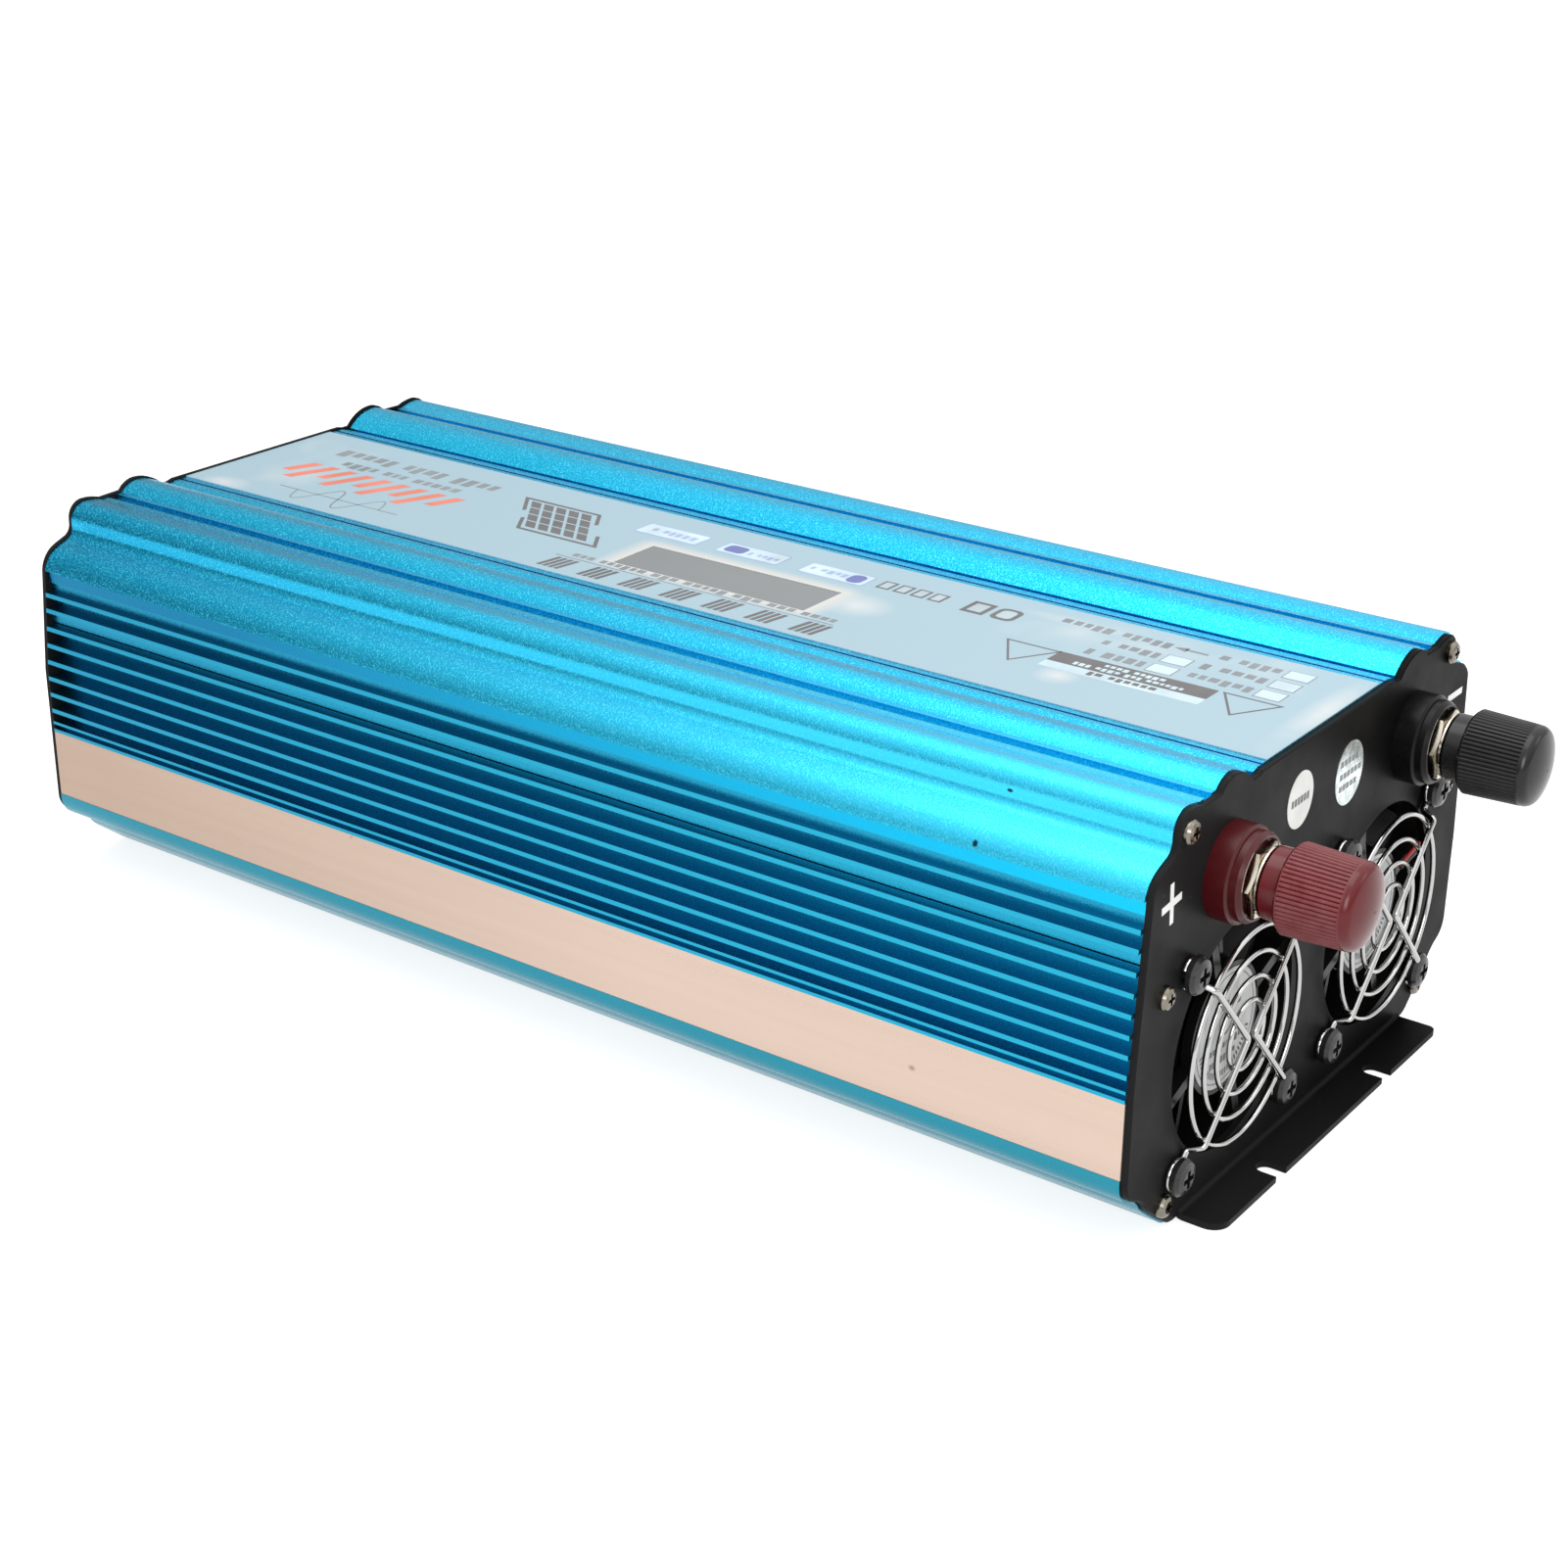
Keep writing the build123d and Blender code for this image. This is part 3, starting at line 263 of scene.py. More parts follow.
def powder_black():
    """Satin powder coat with orange peel and dust, and a painted sheen that makes it a little paler
    towards the plus terminal.
    """
    f = Finish("powder_black", (0.004, 0.004, 0.004), 0.40, Specular_IOR_Level=0.05)
    peel = f.noise(900, detail=2)
    dust = f.noise(420, detail=4, rough=0.7)
    # painted sheen: paler towards the plus terminal, darker towards the minus one
    base = f.mix(f.spread(f.axis("X"), -0.05, 0.05), (0.010, 0.010, 0.010), (0.001, 0.001, 0.001))
    f.colour(f.mix(f.spread(dust, 0.70, 0.76), base, (0.08, 0.08, 0.075)))
    f.rough(f.spread(f.noise(60), 0.3, 0.7, 0.36, 0.50))
    f.bump(peel, 0.18, 0.0001)
    return f.mat


def label_film():
    """Pale blue printed film, clouded with whiter patches, warmer around the display."""
    f = Finish("label_film", (0.31, 0.38, 0.41), 0.36, Coat_Weight=0.25, Coat_Roughness=0.15)
    cloud = f.noise(42, stretch=(1, 0.7, 1), detail=3, rough=0.5)
    patch = f.spread(f.noise(16), 0.60, 0.72, 0, 0.6)
    for centre, radii in CLOUDS:
        patch = f.math("MAXIMUM", patch, f.blob(centre, radii, 0.9))
    patch = f.math("MULTIPLY", patch, f.spread(cloud, 0.30, 0.55))
    pale = f.mix(patch, (0.245, 0.355, 0.41), (0.43, 0.46, 0.47))
    low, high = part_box("display_window")
    middle, half = (low + high) / 2, (high - low) / 2
    around = 0.9
    sides = (("Y", middle.y, half.y, 0.006), ("X", middle.x, half.x, 0.005))
    for letter, centre, reach, fade in sides:
        off = f.math("ABSOLUTE", f.math("SUBTRACT", f.axis(letter), centre))
        around = f.math("MULTIPLY", f.spread(off, reach + 0.001, reach + fade, 1, 0), around)
    f.colour(f.mix(around, pale, (0.47, 0.46, 0.43)))
    f.bump(f.noise(70, detail=1), 0.05, 0.0003)
    return f.mat


def display_glass():
    """Grey glossy window, a little uneven."""
    f = Finish("display_glass", (0.22, 0.23, 0.23), 0.14, Coat_Weight=0.5, Coat_Roughness=0.06)
    sheen = f.noise(18, stretch=(1, 0.4, 1))
    f.colour(f.mix(f.spread(sheen, 0.3, 0.7), (0.115, 0.130, 0.134), (0.145, 0.160, 0.165)))
    f.bump(f.noise(300, detail=1), 0.02, 0.0001)
    return f.mat


def peach_foil():
    """Smooth peach foil with faint rolling lines, a painted highlight that makes it paler towards
    the fans, and a few scuffs.
    """
    f = Finish("peach_foil", (0.54, 0.385, 0.30), 0.30, metal=0.75)
    long = f.noise(40, stretch=(1, 0.1, 6), detail=3)
    scuff = f.noise(65, stretch=(1, 0.8, 1.4), detail=5, rough=0.7)
    tone = f.mix(f.spread(long, 0.3, 0.7), (0.42, 0.305, 0.24), (0.455, 0.335, 0.265))
    # painted highlight: a paler copy of the foil's tone, used towards the fans
    painted_light_near = f.mix(f.spread(long, 0.3, 0.7), (0.57, 0.435, 0.36), (0.61, 0.47, 0.39))
    tone = f.mix(f.spread(f.axis("Y"), -0.04, 0.15), painted_light_near, tone)
    rust = (0.34, 0.20, 0.13)
    tone = f.mix(f.spread(scuff, 0.715, 0.76), tone, rust)
    f.colour(f.mix(f.blob(*SCUFF, 0.9), tone, rust))
    f.rough(f.spread(long, 0.3, 0.7, 0.26, 0.36))
    f.bump(long, 0.06, 0.0002)
    return f.mat


def metal_finish(name, colour, rough, grain=1200, wear=(0.5, 0.5, 0.5), strength=0.08):
    """Metal with fine grain, and spots where its colour is scaled by wear."""
    f = Finish(name, colour, rough, metal=1.0)
    spots = f.noise(grain * 0.25, detail=4, rough=0.65)
    worn = tuple(c * w for c, w in zip(colour, wear))
    f.colour(f.mix(f.spread(spots, 0.55, 0.75), colour, worn))
    f.rough(f.spread(f.noise(grain), 0.3, 0.7, rough * 0.7, rough * 1.5))
    f.bump(f.noise(grain, detail=2), strength, 0.0001)
    return f.mat


def plastic_finish(name, colour, rough, grain=900, strength=0.10, dust=None, **sockets):
    """Moulded plastic, rubber or ink: uneven tone, fine grain and, if asked for, specks of dust."""
    f = Finish(name, colour, rough, **sockets)
    tone = f.noise(70, detail=3)
    darker, lighter = tuple(c * 0.86 for c in colour), tuple(min(1, c * 1.14) for c in colour)
    base = f.mix(f.spread(tone, 0.3, 0.7), darker, lighter)
    if dust:
        specks = f.noise(800, detail=5, rough=0.75)
        base = f.mix(f.spread(specks, 0.60, 0.74, 0, 0.5), base, dust)
    f.colour(base)
    f.rough(f.spread(f.noise(grain * 0.3), 0.3, 0.7, rough * 0.85, rough * 1.2))
    f.bump(f.noise(grain, detail=2), strength, 0.0001)
    return f.mat


# the knobs' knurl, in metres
TERMINAL_X, TERMINAL_Z = 0.0471, 0.0824
KNURL_FROM, KNURL_TO = 0.0156, 0.0304     # how far out of the plate it starts and ends
KNURL_RADIUS, KNURL_TAPER = 0.0103, 0.0325     # its crests' radius, and what that loses per metre
CREST, FADE = 0.0003, 0.0004              # how deep the worn crests are, and how soft their ends


def knob_finish(name, colour, worn):
    """Glossy moulding whose knurl is rubbed pale along its crests."""
    f = Finish(name, colour, 0.28, Specular_IOR_Level=0.32)
    out = f.math("SUBTRACT", FACE * MM, f.axis("Y"))
    off_x = f.math("SUBTRACT", f.math("ABSOLUTE", f.axis("X")), TERMINAL_X)
    off_z = f.math("SUBTRACT", f.axis("Z"), TERMINAL_Z)
    square = f.math("ADD", f.math("MULTIPLY", off_x, off_x), f.math("MULTIPLY", off_z, off_z))
    taper = f.math("MULTIPLY", f.math("SUBTRACT", out, KNURL_FROM), KNURL_TAPER)
    radius = f.math("ADD", f.math("SQRT", square), taper)
    crest = f.spread(radius, KNURL_RADIUS - CREST, KNURL_RADIUS)
    crest = f.math("MULTIPLY", crest, f.spread(out, KNURL_FROM - FADE, KNURL_FROM + FADE))
    crest = f.math("MULTIPLY", crest, f.spread(out, KNURL_TO - FADE, KNURL_TO + FADE, 1, 0))
    patch = f.spread(f.noise(260, detail=4, rough=0.7), 0.35, 0.65, 0.40, 0.95)
    rubbed = f.math("MULTIPLY", crest, patch)
    darker, lighter = tuple(c * 0.85 for c in colour), tuple(c * 1.15 for c in colour)
    base = f.mix(f.spread(f.noise(70), 0.3, 0.7), darker, lighter)
    f.colour(f.mix(rubbed, base, worn))
    f.rough(f.spread(rubbed, 0, 1, 0.22, 0.50))
    f.bump(f.noise(700, detail=2), 0.06, 0.0001)
    return f.mat


def hologram_foil():
    """Pale foil, broken into small bright patches."""
    f = Finish("hologram_foil", (0.70, 0.74, 0.74), 0.22, metal=0.7)
    patch = f.noise(330, detail=4, rough=0.7)
    f.colour(f.mix(f.spread(patch, 0.42, 0.62), (0.44, 0.52, 0.52), (0.84, 0.87, 0.85)))
    f.bump(patch, 0.12, 0.0001)
    return f.mat


def silver_sticker():
    """Silver paper, brushed one way."""
    f = Finish("silver_sticker", (0.70, 0.71, 0.72), 0.30, metal=0.25)
    brushed = f.noise(420, stretch=(1, 1, 0.2), detail=2)
    f.colour(f.mix(f.spread(brushed, 0.3, 0.7), (0.40, 0.41, 0.41), (0.56, 0.57, 0.57)))
    f.bump(brushed, 0.05, 0.0001)
    return f.mat


def circuit_green():
    """Solder mask with paler tracks along the board."""
    f = Finish("circuit_green", (0.02, 0.16, 0.07), 0.35, Coat_Weight=0.4)
    tracks = f.noise(260, stretch=(1, 0.2, 1), detail=1)
    f.colour(f.mix(f.spread(tracks, 0.50, 0.53), (0.015, 0.13, 0.055), (0.03, 0.24, 0.10)))
    f.bump(tracks, 0.1, 0.0001)
    return f.mat


def wound_copper():
    """Enamelled wire, turn beside turn."""
    f = Finish("wound_copper", (0.52, 0.20, 0.07), 0.28, metal=0.9)
    wave = f.node("ShaderNodeTexWave", Scale=260.0, Distortion=0.4)
    wave.bands_direction = "Z"
    f.link(f.place, wave.inputs["Vector"])
    f.colour(f.mix(wave.outputs["Fac"], (0.30, 0.10, 0.04), (0.62, 0.27, 0.10)))
    f.bump(wave.outputs["Fac"], 0.5, 0.0004)
    return f.mat


MATS = {
    "blue": anodised_blue(),
    "black_coat": powder_black(),
    "label": label_film(),
    "display": display_glass(),
    "foil": peach_foil(),
    "hologram": hologram_foil(),
    "circuit": circuit_green(),
    "copper": wound_copper(),
    "chrome": metal_finish("chrome_wire", (0.47, 0.47, 0.46), 0.08, grain=500, wear=(0.9, 0.9, 0.9),
                           strength=0.02),
    "nickel": metal_finish("nickel", (0.66, 0.60, 0.50), 0.14, grain=400, wear=(0.85, 0.80, 0.72),
                           strength=0.03),
    "case_screw": metal_finish("case_screw", (0.22, 0.20, 0.165), 0.20, grain=900,
                               wear=(0.5, 0.45, 0.4), strength=0.06),
    "brass": metal_finish("brass", (0.72, 0.52, 0.22), 0.28, wear=(0.7, 0.6, 0.5)),
    "aluminium": metal_finish("bare_aluminium", (0.72, 0.73, 0.74), 0.35),
    "black_screw": plastic_finish("black_screw", (0.008, 0.008, 0.008), 0.26, grain=1500,
                                  strength=0.06, dust=(0.12, 0.12, 0.12)),
    "fan_black": plastic_finish("fan_black", (0.005, 0.005, 0.005), 0.22, strength=0.04,
                                Specular_IOR_Level=0.18),
    "fan_blade": plastic_finish("fan_blade", (0.006, 0.006, 0.007), 0.28, strength=0.05,
                                Specular_IOR_Level=0.20),
    "paper": plastic_finish("sticker_paper", (0.56, 0.56, 0.54), 0.55, strength=0.04),
    "silver_paper": silver_sticker(),
    "red": plastic_finish("terminal_red", (0.046, 0.002, 0.003), 0.30, grain=700, strength=0.04,
                          Specular_IOR_Level=0.30),
    "red_knob": knob_finish("knob_red", (0.088, 0.004, 0.006), (0.164, 0.042, 0.045)),
    "black": plastic_finish("terminal_black", (0.003, 0.003, 0.003), 0.30, strength=0.05,
                            dust=(0.02, 0.02, 0.02), Specular_IOR_Level=0.16),
    "black_knob": knob_finish("knob_black", (0.007, 0.007, 0.007), (0.011, 0.011, 0.011)),
    "socket": plastic_finish("socket_plastic", (0.022, 0.022, 0.024), 0.40),
    "switch": plastic_finish("switch_red", (0.42, 0.012, 0.012), 0.22, strength=0.03),
    "lamp": plastic_finish("lamp_green", (0.06, 0.42, 0.12), 0.15, strength=0.03),
    "ferrite": plastic_finish("ferrite", (0.030, 0.030, 0.032), 0.65, strength=0.25),
    "sleeve": plastic_finish("capacitor_sleeve", (0.012, 0.022, 0.10), 0.25, strength=0.03),
    "chip": plastic_finish("chip_black", (0.02, 0.02, 0.02), 0.55),
    "fuse": plastic_finish("fuse_orange", (0.65, 0.20, 0.02), 0.25, strength=0.03),
    "red_lead": plastic_finish("red_lead", (0.36, 0.015, 0.015), 0.40),
    "black_lead": plastic_finish("black_lead", (0.015, 0.015, 0.015), 0.40),
    "ink_dark": plastic_finish("ink_dark", (0.095, 0.090, 0.092), 0.45, strength=0.02),
    "ink_soft": plastic_finish("ink_soft", (0.24, 0.30, 0.46), 0.45, strength=0.02),
    "ink_pale": plastic_finish("ink_pale", (0.40, 0.50, 0.55), 0.40, strength=0.02),
    "ink_orange": plastic_finish("ink_orange", (0.52, 0.14, 0.09), 0.42, strength=0.02),
    "ink_grey": plastic_finish("ink_grey", (0.165, 0.18, 0.19), 0.45, strength=0.02),
    "ink_navy": plastic_finish("ink_navy", (0.10, 0.12, 0.30), 0.45, strength=0.02),
    "ink_film": plastic_finish("ink_film", (0.31, 0.38, 0.41), 0.40, strength=0.02),
    "ink_white": plastic_finish("ink_white", (0.64, 0.64, 0.63), 0.50, strength=0.03),
}

CAD_FINISH = {
    "upper_shell": "blue", "lower_shell": "blue",
    "front_plate": "black_coat", "rear_plate": "black_coat",
    "top_label": "label", "display_window": "display", "display_module": "circuit",
    "side_strip_left": "foil", "side_strip_right": "foil",
    "front_case_screws": "case_screw", "rear_case_screws": "case_screw",
    "fan_screws": "black_screw",
    "fan_frame_left": "fan_black", "fan_frame_right": "fan_black",
    "fan_rotor_left": "fan_blade", "fan_rotor_right": "fan_blade",
    "fan_sticker_left": "silver_paper", "fan_sticker_right": "silver_paper",
    "fan_guard_left": "chrome", "fan_guard_right": "chrome",
    "sticker_white": "paper", "sticker_silver": "hologram",
    "terminal_base_plus": "red", "terminal_base_minus": "black",
    "terminal_stud_plus": "brass", "terminal_stud_minus": "brass",
    "terminal_nut_plus": "nickel", "terminal_nut_minus": "nickel",
    "terminal_inner_nut_plus": "nickel", "terminal_inner_nut_minus": "nickel",
    "knob_washer_plus": "nickel", "knob_washer_minus": "nickel",
    "knob_plus": "red_knob", "knob_minus": "black_knob",
    "knob_insert_plus": "brass", "knob_insert_minus": "brass",
    "ac_socket_1": "socket", "ac_socket_2": "socket", "switch_frame": "socket", "rocker": "switch",
    "usb_socket": "socket", "status_lamps": "lamp",
    "main_board": "circuit", "control_board": "circuit",
    "board_standoffs": "brass", "board_screws": "nickel",
    "transformer_cores": "ferrite", "transformer_coils": "copper", "choke_core": "ferrite",
    "choke_winding": "copper", "input_capacitors": "sleeve", "bus_capacitors": "sleeve",
    "power_transistors": "chip",
    "transistor_bar_left": "aluminium", "transistor_bar_right": "aluminium",
    "blade_fuses": "fuse", "dc_cable_plus": "red_lead", "dc_cable_minus": "black_lead",
    "ac_leads": "black_lead", "fan_leads": "red_lead",
}


def dress_cad_nodes():
    for name, finish in CAD_FINISH.items():
        for slot in NODES[name].material_slots:
            slot.material = MATS[finish]


dress_cad_nodes()


# ---------------------------------------------------------------- mesh helpers
def add_mesh(name, points, faces, finish, body="case", smooth=False):
    """A closed mesh from points in millimetres, riding on a CAD body."""
    mesh = bpy.data.meshes.new(name)
    mesh.from_pydata([tuple(c * MM for c in p) for p in points], [], faces)
    work = bmesh.new()
    work.from_mesh(mesh)
    bmesh.ops.remove_doubles(work, verts=work.verts, dist=1e-7)
    bmesh.ops.recalc_face_normals(work, faces=work.faces)
    work.to_mesh(mesh)
    work.free()
    if smooth:
        mesh.shade_smooth()
    mesh.materials.append(MATS[finish])
    piece = bpy.data.objects.new(name, mesh)
    bpy.context.scene.collection.objects.link(piece)
    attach(piece, body)
    return piece


def on_top(u, v, lift):
    """Place on the label: u along the case, v across it, both in millimetres."""
    return (v, u, TOP + lift)


def print_shapes(name, shapes, finish, place, thick=0.05, low=0.0):
    """Thin closed prisms on a surface, from outlines or from (left, right, closed) bands."""
    points, faces = [], []
    for shape in shapes:
        first = len(points)
        if isinstance(shape, tuple):
            left, right, closed = shape
            count = len(left)
            for level in (low, low + thick):
                points += [place(u, v, level) for u, v in left]
                points += [place(u, v, level) for u, v in right]
            for k in range(count if closed else count - 1):
                a, b = first + k, first + (k + 1) % count
                c, d = a + count, b + count
                up = 2 * count
                faces += [[a, b, d, c], [a + up, c + up, d + up, b + up], [a, a + up, b + up, b],
                          [c, d, d + up, c + up]]
            if not closed:
                for k in (first, first + count - 1):
                    faces.append([k, k + count, k + 3 * count, k + 2 * count])
            continue
        count = len(shape)
        points += [place(u, v, low) for u, v in shape]
        points += [place(u, v, low + thick) for u, v in shape]
        faces.append([first + k for k in range(count)])
        faces.append([first + count + k for k in reversed(range(count))])
        for k in range(count):
            after = (k + 1) % count
            faces.append([first + k, first + count + k, first + count + after, first + after])
    return add_mesh(name, points, faces, finish)


def rect(u0, u1, v0, v1, slant=0.0):
    """Outline of a rectangle whose v1 side is shifted by the slant."""
    return [(u0, v0), (u1, v0), (u1 + slant, v1), (u0 + slant, v1)]


def stroke(points, width, close=False):
    """One mitred band of that width through the points."""
    left, right = [], []
    last = len(points) - 1
    for k, (u, v) in enumerate(points):
        before = points[k - 1] if k or close else points[0]
        after = points[(k + 1) % len(points)] if k < last or close else points[last]
        legs = ((before, (u, v)), ((u, v), after))
        ways = [(q[0] - p[0], q[1] - p[1]) for p, q in legs if p != q]
        units = [(du / math.hypot(du, dv), dv / math.hypot(du, dv)) for du, dv in ways]
        along = (sum(d[0] for d in units), sum(d[1] for d in units))
        size = math.hypot(*along)
        normal = (-along[1] / size, along[0] / size)
        reach = width / 2 / max(0.3, abs(normal[0] * -units[0][1] + normal[1] * units[0][0]))
        left.append((u + normal[0] * reach, v + normal[1] * reach))
        right.append((u - normal[0] * reach, v - normal[1] * reach))
    return [(left, right, close)]


def plus(u, v, long, wide, lean, tilt):
    """Outline of a plus, a little taller than wide, whose two bars lean by those amounts."""
    arm, half, tall = long / 2, wide / 2, 1.15
    corners = [(half, half), (arm, half), (arm, -half), (half, -half), (half, -arm), (-half, -arm)]
    corners += [(-a, -b) for a, b in corners]
    return [[(u + a - b * lean, v + b * tall + a * tilt) for a, b in corners]]


def arc(u, v, radius, start, end, count):
    """Points of an arc between two angles in degrees."""
    angles = [math.radians(start + (end - start) * k / count) for k in range(count + 1)]
    return [(u + radius * math.cos(angle), v + radius * math.sin(angle)) for angle in angles]


# ---------------------------------------------------------------- label print
def words(u0, u1, v, high, letter=0.62):
    """A row of letter-sized blocks from u0 to u1, grouped like words, that spells nothing."""
    blocks, u = [], u0
    left = rng.randint(3, 7)
    while u < u1 - high * 0.3:
        wide = high * letter * rng.uniform(0.7, 1.1)
        tall = high * rng.choice((0.72, 0.72, 1.0))
        blocks.append(rect(u, min(u + wide, u1), v + high / 2 - tall, v + high / 2))
        u += wide + high * 0.24
        left -= 1
        if left == 0:
            u += high * 0.55
            left = rng.randint(3, 7)
    return blocks


def word_rows(places):
    return [block for place in places for block in words(*place)]


def rounded(u0, u1, v0, v1, radius):
    """Outline of a rectangle with rounded corners."""
    corners = ((u1 - radius, v0 + radius, -90), (u1 - radius, v1 - radius, 0),
               (u0 + radius, v1 - radius, 90), (u0 + radius, v0 + radius, 180))
    return [point for u, v, start in corners for point in arc(u, v, radius, start, start + 90, 5)]


def hatched(u, v, size):
    """A square of slanted bars, where the label has a large character."""
    bar, step, lean = size * 0.17, size * 0.25, size * 0.16
    starts = [u - size / 2 + k * step for k in range(4)]
    return [rect(start, start + bar, v + size / 2, v - size / 2, lean) for start in starts]


def triangle(u, v, half, high, width):
    """An empty warning triangle."""
    return stroke([(u, v - high), (u - half, v), (u + half, v)], width, close=True)


def slant_grid(origin, along, down, columns, rows, gap):
    """Cells of a leaning panel, from its corner and its two edge vectors."""
    cells = []
    for i in range(columns):
        for j in range(rows):
            s0, s1 = (i + gap) / columns, (i + 1 - gap) / columns
            t0, t1 = (j + gap * 0.6) / rows, (j + 1 - gap * 0.6) / rows
            cells.append([(origin[0] + along[0] * s + down[0] * t,
                           origin[1] + along[1] * s + down[1] * t)
                          for s, t in ((s0, t0), (s1, t0), (s1, t1), (s0, t1))])
    return cells


# the print's thickness and how deep it is sunk, and what each further layer adds
PRINT_THICK, PRINT_SINK, PRINT_LAYER = 0.06, -0.03, 0.02

# layout of the label, in millimetres; rows of blocks are from, to, middle, height and letter width
TITLE = (92.0, 3.0, -11.0)                # first bar, and where the bars start and end
TITLE_BARS, TITLE_STEP, TITLE_BAR = 9, 6.9, 3.4     # how many, their step and their width
TITLE_CAP = 4.5                           # every other bar ends this much earlier
TITLE_ROWS = [(99, 145, 7.2, 4.2), (92, 152, 15.2, 5.6)]
WAVE = (105.0, 136.0, -18.3, 6.4)         # start, end, middle and swing of two sine periods
WAVE_STEPS, WAVE_LINE = 48, (98, 143)
PANEL = ((41.8, -4.6), (22.5, 0), (13.4, 18.6), 5, 4, 0.12)     # corner, edges, cells each way, gap
BRACKETS = [[(42.6, 0.8), (37.8, -6.4), (64.6, -6.4), (69.5, 1.2)],
            [(73.6, 6.4), (80.0, 15.2), (54.0, 15.2), (49.2, 8.0)]]
GLYPHS = [(-44.0 + k * 13.45, -22.2, 7.8) for k in range(7)]
HEADING_RULE, HEADING_ROW = (-47, 42, -17.3, -16.9), (-46, 38.5, -14.9, 3.0, 0.75)
PILLS = [(-36.0, -15.5), (-9.0, 11.5), (17.5, 38.5)]
PILL_ROWS = [(-29, -17, 14.7, 2.6), (-7.5, 2, 14.0, 2.4), (20, 36, 14.5, 2.8)]
BADGES = [(-34.3, -29.7, 11.6, 17.6, 2.0), (3.4, 9.8, 12.2, 17.2, 1.6)]
MARKS, MARK_STEP = 4, 5.2                 # the row of small squares: how many, and their step
NOTICE = (-143, -100.6)
NOTICE_HEADING = (-131, -113, -7.3, 2.4, 0.8)
NOTICE_ROWS = [(-136, -107, -3.4, 1.9, 0.7), (-130, -114, -0.8, 1.9, 0.7)]
SIGNS = [(-151.8, 1.2, 7.3, 11.6, 0.6), (-93.4, 0.9, 7.3, 11.9, 0.6)]
BOXES = [(-157.0, 3.5), (-157.0, 10.7), (-157.0, 18.2), (-129.0, 3.0), (-129.0, 10.2)]
BOX_WIDE, BOX_HIGH, BOX_RIM = 6.4, 4.9, 0.3
LAST_ROW = (-120, -88, 20.4, 3.7)
ARROW_SHAFT = [(-130, 20.6), (-124, 20.6)]
ARROW_HEAD = [(-124.5, 19.2), (-120.8, 20.6), (-124.5, 22.0)]


def label_print():
    """Everything printed on the label, from the far end to the fans' end."""

    def put(name, shapes, finish, layer=0):
        thick = PRINT_THICK + layer * PRINT_LAYER
        print_shapes(name, shapes, finish, on_top, thick, PRINT_SINK)

    first, low, high = TITLE
    bars = []
    for k in range(TITLE_BARS):
        u = first + k * TITLE_STEP
        top, slant = (high, 6.0) if k % 2 else (high + TITLE_CAP, 4.0)
        bars.append(rect(u, u + TITLE_BAR, low, top, slant))
    put("label_title_bars", bars, "ink_orange")

    start, end, middle, swing = WAVE
    shares = [k / WAVE_STEPS for k in range(WAVE_STEPS + 1)]
    curve = [(start + (end - start) * share, middle + swing * math.sin(4 * math.pi * share))
             for share in shares]
    line = [(u, middle) for u in WAVE_LINE]
    put("label_wave", stroke(curve, 0.5) + stroke(line, 0.45), "ink_grey")
    put("label_title_rows", word_rows(TITLE_ROWS), "ink_grey")

    brackets = [band for points in BRACKETS for band in stroke(points, 1.1)]
    put("label_panel_icon", slant_grid(*PANEL) + brackets, "ink_dark")

    put("label_heading_blocks", [bar for glyph in GLYPHS for bar in hatched(*glyph)], "ink_dark")
    put("label_heading_rule", [rect(*HEADING_RULE)] + words(*HEADING_ROW), "ink_grey")

    put("label_pills", [rounded(u0, u1, 10.6, 18.8, 1.0) for u0, u1 in PILLS], "ink_soft")
    faces = [rounded(u0 + 0.45, u1 - 0.45, 11.05, 18.35, 0.7) for u0, u1 in PILLS]
    put("label_pill_faces", faces, "ink_pale", layer=1)
    put("label_pill_marks", word_rows(PILL_ROWS), "ink_soft", layer=2)
    put("label_pill_badges", [rounded(*badge) for badge in BADGES], "ink_navy", layer=2)

    steps = [k * MARK_STEP for k in range(MARKS)]
    marks = [rounded(-80.2, -73.4, 11.2, 19.4, 2.2), rect(-71.9, -65.3, 11.2, 19.4)]
    marks += [rect(-58.6 + step, -54.6 + step, 12.6, 18.2) for step in steps]
    inner = [rounded(-78.9, -74.7, 12.5, 18.1, 1.4), rect(-70.6, -66.6, 12.5, 18.1)]
    inner += [rect(-57.9 + step, -55.3 + step, 13.3, 17.5) for step in steps]
    put("label_marks", marks, "ink_dark")
    put("label_mark_centres", inner, "ink_film", layer=1)

    put("label_notice_band", [rect(*NOTICE, -9.4, -5.3)], "ink_pale")
    put("label_notice_bar", [rect(*NOTICE, -5.3, 1.4)], "ink_dark")
    put("label_notice_heading", words(*NOTICE_HEADING), "ink_dark", layer=1)
    put("label_notice_rows", word_rows(NOTICE_ROWS), "ink_pale", layer=1)
    put("label_signs", [band for sign in SIGNS for band in triangle(*sign)], "ink_dark")

    boxes = [(u, u + BOX_WIDE, v, v + BOX_HIGH) for u, v in BOXES]
    frames = [rect(u0 - BOX_RIM, u1 + BOX_RIM, v0 - BOX_RIM, v1 + BOX_RIM)
              for u0, u1, v0, v1 in boxes]
    put("label_box_frames", frames, "ink_grey")
    put("label_box_faces", [rect(*box) for box in boxes], "ink_pale", layer=1)
    rows = word_rows((u + 8.2, u + 25, v + 2.6, 3.7) for u, v in BOXES) + words(*LAST_ROW)
    put("label_box_rows", rows + stroke(ARROW_SHAFT, 0.9) + [ARROW_HEAD], "ink_grey")


label_print()


